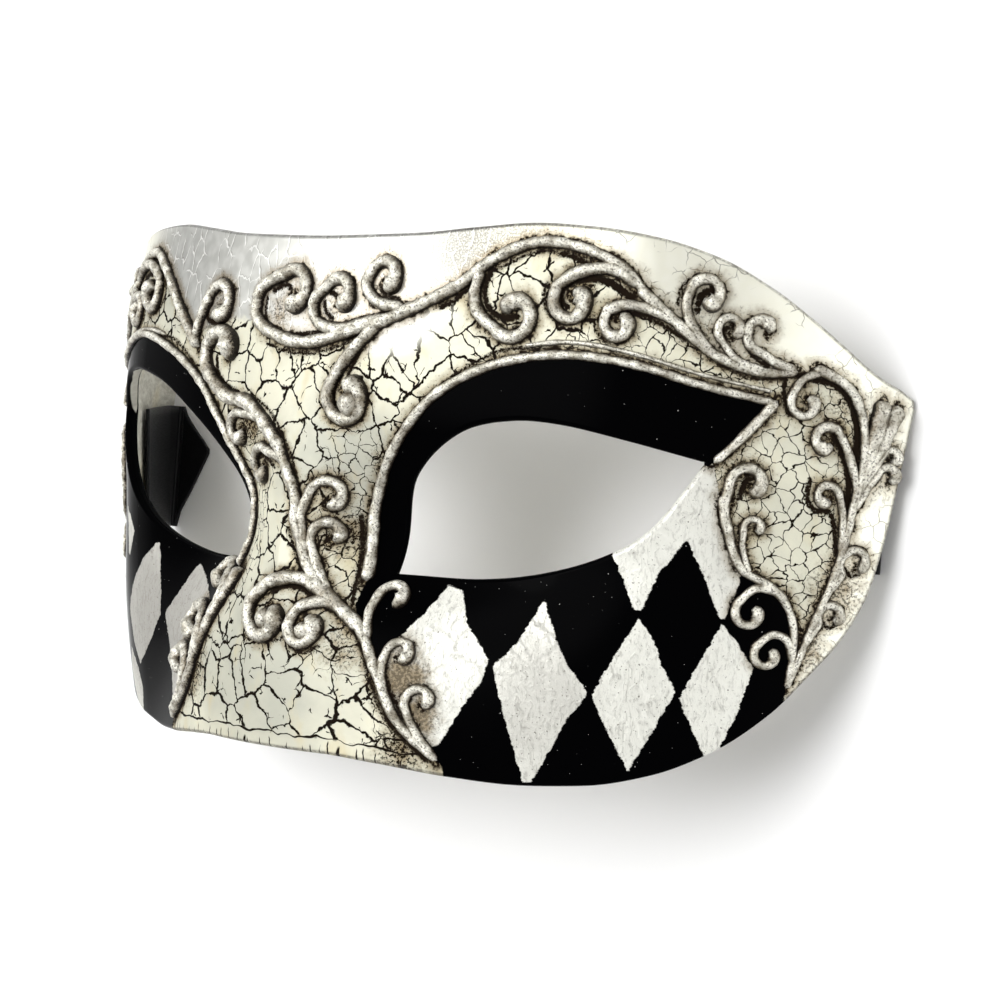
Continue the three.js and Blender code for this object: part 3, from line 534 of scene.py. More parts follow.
def spline(points, steps):
    """Smooth chart line through points, with this many steps to a span."""
    points = np.array(points, float)
    last = len(points) - 1
    line = []
    for i in range(last):
        before, start, end, after = (points[min(max(j, 0), last)] for j in range(i - 1, i + 3))
        t = np.linspace(0, 1, steps, endpoint=False)[:, None]
        leave = (end - before) / 2
        arrive = (after - start) / 2
        line.append((2 * start - 2 * end + leave + arrive) * t ** 3
                    + (-3 * start + 3 * end - 2 * leave - arrive) * t ** 2 + leave * t + start)
    return np.vstack([*line, points[last:]])


def run_along(line):
    """Length of a line up to each of its points."""
    return np.concatenate([[0], np.cumsum(np.linalg.norm(np.diff(line, axis=0), axis=1))])


def even(line, step):
    """The same line in even steps, the last point left in."""
    lengths = run_along(line)
    count = max(2, round(lengths[-1] / step))
    wanted = np.linspace(0, lengths[-1], count + 1)
    return np.column_stack([np.interp(wanted, lengths, line[:, k]) for k in (0, 1)])


def outline_at(across, column):
    """Smooth value of one outline column, by cubic pieces that don't overshoot."""
    stations = OUTLINE[:, 0]
    values = OUTLINE[:, column]
    rises = np.diff(values) / np.diff(stations)
    slopes = np.zeros(len(stations))
    turning = rises[:-1] * rises[1:] > 0
    slopes[1:-1][turning] = (2 * rises[:-1] * rises[1:])[turning] / (rises[:-1] + rises[1:])[turning]
    slopes[-1] = rises[-1]
    reach = np.abs(across)
    end = np.clip(np.searchsorted(stations, reach), 1, len(stations) - 1)
    span = stations[end] - stations[end - 1]
    t = np.clip((reach - stations[end - 1]) / span, 0, 1)
    return (values[end - 1] * (1 + 2 * t) * (1 - t) ** 2 + values[end] * t ** 2 * (3 - 2 * t)
            + span * slopes[end - 1] * t * (1 - t) ** 2 - span * slopes[end] * t ** 2 * (1 - t))


def segment_distance(points, start, end):
    along = end - start
    part = np.clip(((points - start) @ along) / max(along @ along, 1e-9), 0, 1)
    return np.linalg.norm(points - start - part[:, None] * along, axis=1)


def inside(points, polygon):
    """Which points lie in a closed chart polygon."""
    polygon = np.array(polygon, float)
    result = np.zeros(len(points), bool)
    for start, end in zip(polygon, np.roll(polygon, -1, axis=0)):
        if start[1] != end[1]:
            crosses = (start[1] > points[:, 1]) != (end[1] > points[:, 1])
            meet = start[0] + (points[:, 1] - start[1]) * (end[0] - start[0]) / (end[1] - start[1])
            result ^= crosses & (points[:, 0] < meet)
    return result


def signed_distance(points, polygon):
    """Distance to a closed chart polygon, negative inside."""
    polygon = np.array(polygon, float)
    ends = np.roll(polygon, -1, axis=0)
    nearest = np.min([segment_distance(points, start, end) for start, end in zip(polygon, ends)], axis=0)
    return np.where(inside(points, polygon), -nearest, nearest)


def spot(points, place, radii, powers):
    """Soft spot on the chart: 1 at its place and fading out past its radii."""
    away = np.abs(points - place) / radii
    return np.exp(-away[:, 0] ** powers[0] - away[:, 1] ** powers[1])


def line_distance(points, lines):
    """Distance to the nearest of some dense chart lines, less that line's half width."""
    tree = kdtree.KDTree(sum(len(line) for line, _ in lines))
    half_widths = []
    for line, half_width in lines:
        for across, height in line:
            tree.insert((across, height, 0), len(half_widths))
            half_widths.append(half_width)
    tree.balance()
    found = [tree.find((across, height, 0)) for across, height in points]
    return np.array([far - half_widths[index] for _, index, far in found])


def scroll_line(row):
    """Middle line of a scroll: its stem, then a spiral that closes in on the eye."""
    path, eye, turn, width = row
    points = [tuple(p) for p in path]
    if eye:
        last = np.array(points[-1]) - eye
        radius = np.hypot(*last)
        start = math.atan2(last[1], last[0])
        tip_radius = width * TIP_WIDTH * TIP_CURL
        steps = round(abs(turn) / CURL_STEP)
        for i in range(1, steps + 1):
            part = i / steps
            angle = start + math.radians(turn) * part
            reach = radius + (tip_radius - radius) * part
            points.append((eye[0] + reach * math.cos(angle), eye[1] + reach * math.sin(angle)))
    return even(spline(points, SPANS), CORD_STEP)


def mirrored(rows):
    return [([(-a, h) for a, h in path], (-eye[0], eye[1]) if eye else None, -turn, width)
            for path, eye, turn, width in rows]


SCROLLWORK = {
    "brow_scroll_left": BROW_STEM_LEFT + FOREHEAD_SCROLLS + INNER_BROW_CURL + BROW_SCROLLS,
    "brow_scroll_right": BROW_STEM_RIGHT + mirrored(BROW_SCROLLS),
    "temple_scroll_left": TEMPLE_SCROLLS,
    "temple_scroll_right": mirrored(TEMPLE_SCROLLS),
    "nose_scroll_left": NOSE_CHAIN + NOSE_SIDE_CURLS,
    "nose_scroll_right": mirrored(NOSE_SIDE + NOSE_SIDE_CURLS_RIGHT),
}


def add_mesh(name, points, faces, materials):
    mesh = bpy.data.meshes.new(name)
    mesh.from_pydata([tuple(p) for p in points], [], faces)
    mesh.polygons.foreach_set("use_smooth", [True] * len(mesh.polygons))
    for material in materials:
        mesh.materials.append(material)
    piece = bpy.data.objects.new(name, mesh)
    bpy.context.scene.collection.objects.link(piece)
    return piece


def add_values(piece, name, values):
    attribute = piece.data.attributes.new(name, "FLOAT", "POINT")
    attribute.data.foreach_set("value", np.ascontiguousarray(values, np.float32))


class Shader:
    """The nodes of a material or of the surround, with short calls for those that it needs."""

    def __init__(self, owner):
        owner.use_nodes = True
        self.owner = owner
        self.nodes = owner.node_tree.nodes
        self.links = owner.node_tree.links

    def set(self, socket, value):
        if isinstance(value, bpy.types.NodeSocket):
            self.links.new(value, socket)
        else:
            socket.default_value = value

    def node(self, kind, inputs, **settings):
        """New node with these inputs, by name or number, and these settings."""
        node = self.nodes.new("ShaderNode" + kind)
        for name, value in settings.items():
            setattr(node, name, value)
        for socket, value in inputs.items():
            self.set(node.inputs[socket], value)
        return node

    def math(self, operation, a, b=0.0, clamp=False):
        return self.node("Math", {0: a, 1: b}, operation=operation, use_clamp=clamp).outputs[0]

    def times(self, a, b):
        return self.math("MULTIPLY", a, b)

    def plus(self, a, b, clamp=False):
        return self.math("ADD", a, b, clamp)

    def larger(self, a, b):
        return self.math("MAXIMUM", a, b)

    def rest(self, part):
        """What a part leaves of 1."""
        return self.math("SUBTRACT", 1.0, part)

    def swing(self, noise, reach):
        """Noise centred on nothing, with this reach from end to end."""
        return self.times(self.math("SUBTRACT", noise, 0.5), reach)

    def value(self, name):
        return self.node("Attribute", {}, attribute_name=name).outputs["Fac"]

    def vector(self, name):
        return self.node("Attribute", {}, attribute_name=name).outputs["Vector"]

    def place(self):
        """Place in the object, in millimetres."""
        return self.stretch(self.node("TexCoord", {}).outputs["Object"], (1 / MM, 1 / MM, 1 / MM))

    def stretch(self, vector, factors):
        return self.node("VectorMath", {0: vector, 1: factors}, operation="MULTIPLY").outputs[0]

    def shift(self, vector, offset):
        return self.node("VectorMath", {0: vector, 1: offset}, operation="ADD").outputs[0]

    def noise(self, vector, size, detail=2.0, roughness=0.5, colour=False):
        """Noise with features of about this size, in millimetres."""
        inputs = {"Vector": vector, "Scale": 1 / size, "Detail": detail, "Roughness": roughness}
        return self.node("TexNoise", inputs).outputs["Color" if colour else "Fac"]

    def wander(self, vector, size, reach):
        """The vector moved about by noise, as far as reach."""
        centred = self.shift(self.noise(vector, size, colour=True), (-0.5, -0.5, -0.5))
        return self.shift(vector, self.stretch(centred, (2 * reach, 2 * reach, 2 * reach)))

    def cell_edges(self, vector, size):
        """Distance in millimetres to the edges of cells of this size."""
        cells = self.node("TexVoronoi", {}, feature="DISTANCE_TO_EDGE", voronoi_dimensions="2D")
        self.set(cells.inputs["Vector"], vector)
        self.set(cells.inputs["Scale"], 1 / size)
        return self.times(cells.outputs["Distance"], size)

    def ramp(self, value, low, high, to_low=0.0, to_high=1.0):
        """Smooth step of the value from low to high."""
        inputs = {"Value": value, "From Min": low, "From Max": high, "To Min": to_low, "To Max": to_high}
        return self.node("MapRange", inputs, interpolation_type="SMOOTHSTEP").outputs["Result"]

    def mix(self, part, a, b):
        """Colour a, or b where part is 1."""
        node = self.node("Mix", {"Factor": part}, data_type="RGBA")
        colours = [socket for socket in node.inputs if socket.type == "RGBA"]
        for socket, colour in zip(colours, (a, b)):
            self.set(socket, colour if isinstance(colour, bpy.types.NodeSocket) else (*colour, 1))
        return next(socket for socket in node.outputs if socket.type == "RGBA")

    def blend(self, part, a, b):
        """Number a, or b where part is 1."""
        return self.node("Mix", {"Factor": part, "A": a, "B": b}).outputs["Result"]

    def bump(self, height, depth):
        """Surface bump: a height of 1 stands this many millimetres."""
        node = self.node("Bump", {"Distance": depth * MM, "Height": height})
        self.links.new(node.outputs["Normal"], self.nodes["Principled BSDF"].inputs["Normal"])

    def finish(self, colour, roughness, metallic, **constants):
        surface = self.nodes["Principled BSDF"]
        self.set(surface.inputs["Base Color"], colour)
        self.set(surface.inputs["Roughness"], roughness)
        self.set(surface.inputs["Metallic"], metallic)
        for name, value in constants.items():
            surface.inputs[name.replace("_", " ")].default_value = value
        return self.owner


def new_shader(name):
    return Shader(bpy.data.materials.new(name))


def crack_lines(s, vector, size, half_width):
    """Lines along the edges of cells of a size; a half width of nothing leaves no line."""
    far = s.cell_edges(vector, size)
    inner = s.times(half_width, 0.7)
    outer = s.plus(s.times(half_width, 1.25), 0.001)
    solid = s.ramp(half_width, 0.015, 0.05)
    return s.times(solid, s.rest(s.ramp(far, inner, outer)))


def nose_edge_cracks(s, chart, edge, at_nose):
    """A long crack along the nose's lower edge with short ones under it, and the places so low."""
    rise = s.swing(s.noise(chart, 5.0), 3.0)
    from_long = s.math("ABSOLUTE", s.math("SUBTRACT", s.plus(edge, rise), NOSE_CRACK_HEIGHT))
    long_width = s.ramp(s.noise(s.shift(chart, (40, 0, 0)), 6.0, 1.0), 0.35, 0.6, 0.05, 0.22)
    long_crack = s.rest(s.ramp(from_long, s.times(long_width, 0.7), s.plus(long_width, 0.06)))
    upright = s.stretch(s.wander(chart, 1.6, 0.35), (1.0, 0.02, 1.0))
    reach = s.ramp(s.noise(s.stretch(chart, (1.0, 0.05, 1.0)), 1.6, 1.0), 0.3, 0.7, 0.3, 2.2)
    standing = s.ramp(s.math("SUBTRACT", edge, reach), 0.3, -0.3)
    ticks = s.times(crack_lines(s, upright, TICK_SPACING, TICK_HALF_WIDTH), standing)
    lines = s.times(s.larger(long_crack, ticks), at_nose)
    low = s.times(s.ramp(edge, 2.9, 2.3), at_nose)
    return lines, low


def shell_material():
    s = new_shader("mask_paint")
    chart = s.vector("chart")
    edge = s.value("edge")
    fine = s.value("fine")
    coarse = s.value("coarse")
    stain = s.value("stain")
    grey_and_shade = s.value("grey_and_shade")
    painted_glare = s.value("painted_glare")
    silvered = s.value("silvered")
    mottle = s.noise(chart, 0.8, 3.0, 0.6)
    streaks = s.noise(chart, 0.5, 3.0, 0.65)
    patchy = s.noise(chart, 5.0, 1.0)
    cloudy = s.noise(chart, 2.4, 1.0)

    # Cracks: the mesh of lines is small at the temples, large on the nose, and thins out to spurs
    jagged = s.wander(s.wander(s.wander(chart, 6.0, 1.5), 1.5, 0.75), 0.55, 0.2)
    is_fine = s.ramp(fine, 0.3, 0.6)
    is_coarse = s.ramp(coarse, 0.3, 0.6)
    is_plain = s.ramp(s.rest(s.larger(fine, coarse)), 0.2, 0.6)
    middling = s.ramp(patchy, 0.26, 0.58, 0.08, 0.25)
    small = s.ramp(patchy, 0.28, 0.60, 0.05, 0.11)
    large = s.ramp(patchy, 0.28, 0.62, 0.10, 0.30)
    spur = s.ramp(s.noise(s.shift(chart, (11, 71, 0)), 2.6, 1.0), 0.53, 0.68, 0.0, 0.14)
    cracks = crack_lines(s, jagged, CRACK_CELL, s.times(middling, is_plain))
    for offset, cell, half_width, where in (((44, 29, 0), SMALL_CELL, small, is_fine),
                                            ((3, 57, 0), LARGE_CELL, large, is_coarse),
                                            ((67, 5, 0), SPUR_CELL, spur, s.rest(is_fine))):
        lines = crack_lines(s, s.shift(jagged, offset), cell, s.times(half_width, where))
        cracks = s.larger(cracks, lines)

    # Smooth band: pearly, with hairlines and no cracks; each crease is a line of painted shade with a line
    # of painted highlight just beside it, as a ridge lit from one side
    smooth = s.ramp(s.plus(s.value("smooth"), s.swing(s.noise(chart, 2.6, 3.0), 3.0)), 0.5, -0.5)
    thinning = s.noise(chart, 5.5)
    moved = s.shift(chart, (9, 4, 0))
    hair_width = s.ramp(thinning, 0.40, 0.62, 0.0, 0.075)
    hairs_and_crease_shade = crack_lines(s, s.wander(moved, 1.8, 0.7), HAIR_CELL, hair_width)
    hairs_and_crease_shade = s.times(hairs_and_crease_shade, s.times(s.rest(silvered), 0.65))
    creased = s.wander(s.stretch(moved, (1.0, 0.6, 1.0)), 1.8, 0.8)
    crease_width = s.ramp(thinning, 0.36, 0.56, 0.0, 0.11)
    # Painted shade along the creases, joined to the hairlines
    crease_shade = s.times(crack_lines(s, creased, CREASE_CELL, crease_width), silvered)
    hairs_and_crease_shade = s.larger(hairs_and_crease_shade, s.times(crease_shade, 0.35))
    # Painted highlight along the creases, a little beside their painted shade
    crease_highlights = crack_lines(s, s.shift(creased, (0.22, 0.05, 0)), CREASE_CELL, crease_width)
    crease_highlights = s.times(crease_highlights, s.times(silvered, 0.6))
    # No cracks in the smooth band, nor in the painted highlight below the brow stem
    cracks = s.times(cracks, s.rest(s.larger(smooth, painted_glare)))
    nose_lines, low = nose_edge_cracks(s, chart, edge, s.value("nose_edge"))
    cracks = s.larger(s.times(cracks, s.rest(low)), nose_lines)

    # Cream paint, greyer, paler and warmer in patches, and the pearl; the grey is partly painted shade on
    # the far side and the nose, and a whiter patch below the brow stem is a painted highlight
    drift = s.swing(s.noise(s.shift(chart, (5, 50, 0)), 7.0, 3.0), 1.3)
    cream = s.mix(s.plus(grey_and_shade, drift, clamp=True), CREAM_PALE, CREAM)
    # Painted highlight: whiter cream below the brow stem
    cream = s.mix(s.times(painted_glare, 0.8), cream, CREAM_GLARE)
    warmth = s.noise(s.stretch(s.shift(chart, (70, 3, 0)), (1.0, 0.5, 1.0)), 4.0, 3.0)
    cream = s.mix(s.ramp(warmth, 0.52, 0.78, 0.0, 0.6), cream, CREAM_WARM)
    pearl = s.mix(silvered, PEARL_CREAM, s.mix(grey_and_shade, PEARL, PEARL_GREY_AND_SHADE))
    pearl = s.mix(s.ramp(cloudy, 0.35, 0.70, 0.0, 0.15), pearl, PEARL_PALE_AND_HIGHLIGHT)
    scratches = s.ramp(s.noise(chart, 0.3), 0.34, 0.62, 0.28, 0.75)
    pearl = s.mix(s.times(s.value("rubbed"), scratches), pearl, PEARL_STREAK_AND_SHADE)
    pearl = s.mix(hairs_and_crease_shade, pearl, PEARL_STREAK_AND_SHADE)
    pearl = s.mix(crease_highlights, pearl, PEARL_PALE_AND_HIGHLIGHT)
    paint = s.mix(smooth, cream, pearl)

    # Brown stains and dark specks, with painted shade: brown and near black on the paint beside the
    # relief, and the dark lines in its hollows
    loose = s.swing(s.noise(chart, 1.8, 3.0, 0.6), 2.6)
    beside = s.plus(s.value("relief"), loose)
    # Painted shade: brown on the paint beside the relief
    shade_beside_relief = s.times(s.ramp(beside, 1.9, -0.4), s.blend(smooth, 0.85, 0.75))
    blotch = s.ramp(s.plus(stain, s.times(loose, 0.35)), 0.15, 0.8, 0.0, 0.85)
    paint = s.mix(s.larger(shade_beside_relief, blotch), paint, STAIN_AND_SHADE_BROWN)
    # Painted shade along the dark lines in the crevices
    line_shade = s.ramp(s.plus(s.value("shade_line"), s.swing(streaks, 1.5)), 0.12, -0.12)
    # Painted shade: near black close beside the relief
    shade_hugging_relief = s.times(s.ramp(beside, s.blend(smooth, 0.5, 0.25), -0.1), s.ramp(streaks, 0.36, 0.5))
    specked = s.larger(s.ramp(beside, 2.0, 0.2), s.ramp(stain, 0.1, 0.6))
    thick = s.plus(streaks, s.times(stain, 0.16))
    specks = s.times(s.ramp(thick, 0.58, 0.64), s.times(specked, s.blend(smooth, 1.0, 0.75)))
    shade_and_specks = s.larger(line_shade, s.larger(shade_hugging_relief, specks))
    paint = s.mix(shade_and_specks, paint, DARK_SHADE_AND_SPECKS)
    paint = s.mix(cracks, paint, CRACK)
    worn = s.times(s.ramp(edge, 0.75, 0.35), s.ramp(streaks, 0.36, 0.58, 0.45, 1.0))
    paint = s.mix(worn, paint, EDGE_WEAR)

    # Gloss black with silver leaf diamonds, ragged where the brush or the leaf broke off
    brush = s.swing(s.noise(chart, 0.7, 3.0, 0.6), 0.9)
    black = s.ramp(s.plus(s.value("black"), brush), 0.10, -0.10)
    torn = s.swing(s.noise(s.stretch(chart, (0.8, 1.3, 1.0)), 1.7, 5.0, 0.72), 1.5)
    leaf = s.ramp(s.plus(s.value("diamond"), torn), 0.08, -0.08)
    drawn = s.noise(s.stretch(s.wander(chart, 9.0, 1.2), (1.0, 0.07, 1.0)), 0.30, 3.0, 0.6)
    # Leaf greyer where the paint is greyer, partly painted shade
    leaf_grey_and_shade = s.plus(grey_and_shade, s.times(drift, 0.3), clamp=True)
    leaf_colour = s.mix(leaf_grey_and_shade, LEAF, LEAF_GREY_AND_SHADE)
    leaf_colour = s.mix(s.ramp(drawn, 0.58, 0.76, 0.0, 0.55), leaf_colour, LEAF_HAIR)
    rumpled = s.stretch(s.wander(s.shift(chart, (40, 9, 0)), 3.0, 1.6), (1.0, 0.3, 1.0))
    wrinkles = s.noise(rumpled, 0.7, 4.0, 0.7)
    leaf_colour = s.mix(s.ramp(wrinkles, 0.48, 0.70, 0.0, 0.5), leaf_colour, LEAF_HAIR)
    pits = s.ramp(s.noise(s.shift(chart, (12, 80, 0)), 0.42), 0.64, 0.72, 0.0, 0.8)
    leaf_colour = s.mix(pits, leaf_colour, SILVER_PIT)
    # On the leaf too: brown painted shade beside the relief, near black painted shade in its hollows, and
    # stains and specks
    leaf_colour = s.mix(s.larger(s.times(shade_beside_relief, 0.7), blotch), leaf_colour, STAIN_AND_SHADE_BROWN)
    leaf_shade_and_specks = s.larger(s.larger(line_shade, shade_hugging_relief), s.times(specks, 0.5))
    leaf_colour = s.mix(leaf_shade_and_specks, leaf_colour, DARK_SHADE_AND_SPECKS)
    dust = s.ramp(s.noise(s.shift(chart, (3, 33, 0)), 0.4, 0.0), 0.86, 0.89)
    lacquer = s.mix(s.times(s.value("front"), dust), LACQUER, DUST)
    colour = s.mix(black, paint, s.mix(leaf, lacquer, leaf_colour))

    # Cut edge of the right eye hole: bare paper, the black paint ragged over its outer side
    bare = s.ramp(s.plus(s.value("cut"), s.swing(patchy, 0.4)), 0.30, 0.42)
    colour = s.mix(bare, colour, s.mix(mottle, PAPER_DULL, PAPER))

    # Gloss, metal and grain of each paint
    leafed = s.times(black, leaf)
    lacquered = s.times(s.math("SUBTRACT", black, leafed), s.rest(bare))
    cream_rough = s.ramp(mottle, 0.3, 0.7, 0.34, 0.52)
    pearl_rough = s.ramp(cloudy, 0.3, 0.7, 0.28, 0.36)
    leaf_rough = s.ramp(drawn, 0.3, 0.7, 0.34, 0.52)
    paint_rough = s.blend(smooth, cream_rough, pearl_rough)
    roughness = s.blend(black, paint_rough, s.blend(leaf, 0.10, leaf_rough))
    clean = s.rest(s.larger(s.larger(shade_and_specks, cracks), bare))
    metal = s.blend(black, s.blend(smooth, CREAM_METAL, PEARL_METAL), s.blend(leaf, 0.0, LEAF_METAL))
    grain = s.times(s.times(mottle, s.blend(smooth, 0.16, 0.01)), s.rest(lacquered))
    leaf_grain = s.times(leafed, s.plus(s.times(wrinkles, 0.6), 0.25))
    s.bump(s.plus(grain, leaf_grain), 0.22)
    return s.finish(colour, roughness, s.times(clean, metal), Specular_IOR_Level=0.005)


def inside_material():
    """Bare cream paper, fibrous, with brown specks."""
    s = new_shader("mask_inside")
    chart = s.vector("chart")
    fibres = s.noise(s.stretch(s.wander(chart, 6.0, 2.0), (0.35, 1.0, 1.0)), 1.2, 4.0, 0.65)
    colour = s.mix(s.ramp(fibres, 0.35, 0.65), PAPER_DULL, PAPER)
    colour = s.mix(s.ramp(s.noise(chart, 9.0), 0.5, 0.75, 0.0, 0.4), colour, CREAM_WARM)
    colour = s.mix(s.ramp(s.noise(chart, 0.7), 0.70, 0.74, 0.0, 0.8), colour, STAIN_AND_SHADE_BROWN)
    s.bump(s.plus(s.noise(chart, 6.0), s.times(fibres, 0.25)), 0.25)
    return s.finish(colour, 0.65, 0.0, Specular_IOR_Level=0.25)


def relief_material():
    """Silver paint on raised paste with fine grains, and painted light and shade: bright along the crown,
    browner down the sides and near black at the foot.
    """
    s = new_shader("relief_silver")
    place = s.place()
    grain = s.noise(place, 0.36, 3.0, 0.68)
    patch = s.noise(place, 1.8, 3.0, 0.6)
    level = s.plus(s.value("crown"), s.swing(patch, 0.7))
    silver = s.mix(s.ramp(patch, 0.36, 0.64), SILVER, SILVER_PALE)
    silver = s.mix(s.ramp(s.noise(place, 5.0), 0.50, 0.72, 0.0, 0.6), silver, SILVER_BROWN_AND_SHADE)
    silver = s.mix(s.ramp(grain, 0.50, 0.36, 0.0, 0.85), silver, SILVER_PIT)
    # Painted shade: browner away from the crown, down the sides
    silver = s.mix(s.ramp(level, 0.98, 0.55, 0.0, 0.8), silver, SILVER_BROWN_AND_SHADE)
    # Painted shade: near black at the foot
    foot_shade = s.ramp(s.plus(level, s.swing(grain, 0.9)), 0.66, 0.44)
    colour = s.mix(foot_shade, silver, DARK_SHADE_AND_SPECKS)
    roughness = s.ramp(grain, 0.3, 0.7, 0.28, 0.44)
    s.bump(s.plus(grain, s.times(patch, 0.6)), 0.20)
    return s.finish(colour, roughness, s.times(s.rest(foot_shade), RELIEF_METAL), Specular_IOR_Level=0.2)


def ribbon_material():
    """Black satin: fine threads across the ribbon and a soft sheen."""
    s = new_shader("ribbon_satin")
    threads = s.noise(s.stretch(s.place(), (0.35, 6.0, 0.35)), 0.6)
    colour = s.mix(threads, SATIN_DARK, SATIN)
    s.bump(threads, 0.04)
    return s.finish(colour, s.ramp(threads, 0.3, 0.7, 0.30, 0.42), 0.0, Specular_IOR_Level=0.12,
                    Sheen_Weight=0.05, Sheen_Roughness=0.4)


def floor_material():
    s = new_shader("floor_white")
    colour = s.mix(s.noise(s.place(), 60.0), FLOOR_DULL, FLOOR_WHITE)
    return s.finish(colour, 0.6, 0.0, Specular_IOR_Level=0.2)


def face_outline():
    """The face's edge on the chart, counter-clockwise from the right temple, less the edge's round."""
    across = np.linspace(-FACE_REACH, FACE_REACH, OUTLINE_POINTS)
    lower = np.column_stack([across, outline_at(across, BOTTOM)])
    upper = np.column_stack([across, outline_at(across, TOP)])[::-1]
    return drawn_in(even(np.vstack([lower, upper, lower[:1]]), EDGE_STEP)[:-1], EDGE_ROUND)


def eye_outline(side):
    """An eye hole's edge on the chart, clockwise, widened by the edge's round."""
    lower, upper = (LEFT_LOWER_LID, LEFT_UPPER_LID) if side > 0 else (RIGHT_LOWER_LID, RIGHT_UPPER_LID)
    line = np.vstack([spline(lower, LID_SPANS)[:-1], spline(upper, LID_SPANS)]) * (side, 1)
    loop = even(line, EDGE_STEP)[:-1]
    return drawn_in(loop[::-1] if side > 0 else loop, EDGE_ROUND)


def drawn_in(loop, distance):
    """A closed line moved to its left, into the material."""
    along = np.roll(loop, -1, axis=0) - np.roll(loop, 1, axis=0)
    along /= np.linalg.norm(along, axis=1, keepdims=True)
    return loop + np.column_stack([-along[:, 1], along[:, 0]]) * distance


def within(points, loops, margin):
    """Which points lie in the face and clear of its edges by the margin."""
    held = inside(points, loops[0])
    for loop in loops[1:]:
        held &= ~inside(points, loop)
    if margin:
        held &= line_distance(points, [(loop, 0) for loop in loops]) > margin
    return held


def triangulated(loops, spacing):
    """Chart mesh between the edges, as points and triangles; the edges' points come first, in order."""
    rows = np.arange(CHART_LOW, CHART_HIGH, spacing * math.sqrt(3) / 2)
    columns = np.arange(-FACE_REACH, FACE_REACH, spacing)
    lattice = np.array([(a + spacing / 2 * (i % 2), h) for i, h in enumerate(rows) for a in columns])
    lattice = lattice[within(lattice, loops, EDGE_RING + spacing * 0.6)]
    rings = np.vstack([drawn_in(loop, EDGE_RING) for loop in loops])
    rings = rings[within(rings, loops, EDGE_RING * 0.8)]
    edges = []
    count = 0
    for loop in loops:
        edges += [(count + i, count + (i + 1) % len(loop)) for i in range(len(loop))]
        count += len(loop)
    given = [Vector(p) for p in np.vstack([*loops, rings, lattice])]
    points, _, faces, *_ = delaunay_2d_cdt(given, edges, [], 0, 1e-6, False)
    points = np.array(points)
    faces = np.array(faces)
    middles = points[faces].mean(axis=1)
    return points, faces[within(middles, loops, 0)]


def add_paint_values(piece, chart, outline):
    """What the paint needs to know at each point: distances to its areas and lines, and soft spots."""
    across, height = chart.T
    half = np.column_stack([np.abs(across), height])
    left = across >= 0
    black = np.where(left, signed_distance(half, LEFT_BLACK), signed_distance(half, RIGHT_BLACK))
    add_values(piece, "black", black)
    left_leaf = np.min([signed_distance(half, d) for d in LEFT_DIAMONDS], axis=0)
    right_leaf = np.min([signed_distance(half, d) for d in RIGHT_DIAMONDS], axis=0)
    add_values(piece, "diamond", np.where(left, left_leaf, right_leaf))
    add_values(piece, "smooth", signed_distance(chart, SMOOTH_AREA))
    add_values(piece, "edge", line_distance(chart, [(outline, 0)]) + EDGE_ROUND)
    at_nose = (np.abs(across) < NOSE_EDGE_REACH) & (height < NOSE_EDGE_TOP)
    add_values(piece, "nose_edge", at_nose.astype(float))

    at_temple = 1 / (1 + np.exp((FINE_FROM - np.abs(across)) / FINE_EASE))
    fine = spot(half, *FINE_BESIDE_NOSE) + spot(half, *FINE_OVER_RIM) + at_temple
    add_values(piece, "fine", np.clip(fine, 0, 1))
    add_values(piece, "coarse", spot(half, *COARSE_LOW_NOSE))
    stains = [strength * spot(chart, (a, h), radius, (2, 2)) for a, h, radius, strength in STAINS]
    add_values(piece, "stain", np.max(stains, axis=0))
    # Greyer paint, partly painted shade on the far side and the nose
    grey_and_shade = np.zeros(len(chart))
    for a, h, wide, tall, strength in GREY_PAINT_AND_SHADE:
        far = ((across - a) / wide) ** 2 + ((height - h) / tall) ** 2
        grey_and_shade = np.maximum(grey_and_shade, strength * np.exp(-far ** 2))
    add_values(piece, "grey_and_shade", grey_and_shade)
    from_silver = np.abs(across - SILVER_MIDDLE) - SILVER_REACH
    add_values(piece, "silvered", 1 / (1 + np.exp(from_silver / SILVER_EASE)))
    add_values(piece, "rubbed", spot(chart, *RUBBED_PEARL))
    # Painted highlight below the brow stem, slanted with height
    slanted = np.column_stack([across - GLARE_SLANT * (height - GLARE_SPOT[0][1]), height])
    add_values(piece, "painted_glare", spot(slanted, *GLARE_SPOT))

    cords = [(scroll_line(row), row[3] * (STEM_FOOT if row[3] < LEAF_WIDTH else BLADE_FOOT))
             for rows in SCROLLWORK.values() for row in rows]
    # Dark lines of painted shade in the crevices
    shade_lines = [(even(spline(line, SPANS), SHADE_LINE_STEP), wide) for line, wide in SHADE_LINES_ONCE]
    for side in (1, -1):
        for line in RIMS[side]:
            cords.append((even(spline(line, SPANS) * (side, 1), CORD_STEP), RIM_WIDTH / 2))
        shade_lines += [(even(spline(line, SPANS) * (side, 1), SHADE_LINE_STEP), wide) for line, wide in SHADE_LINES_BOTH]
    add_values(piece, "relief", line_distance(chart, cords))
    add_values(piece, "shade_line", line_distance(chart, shade_lines))


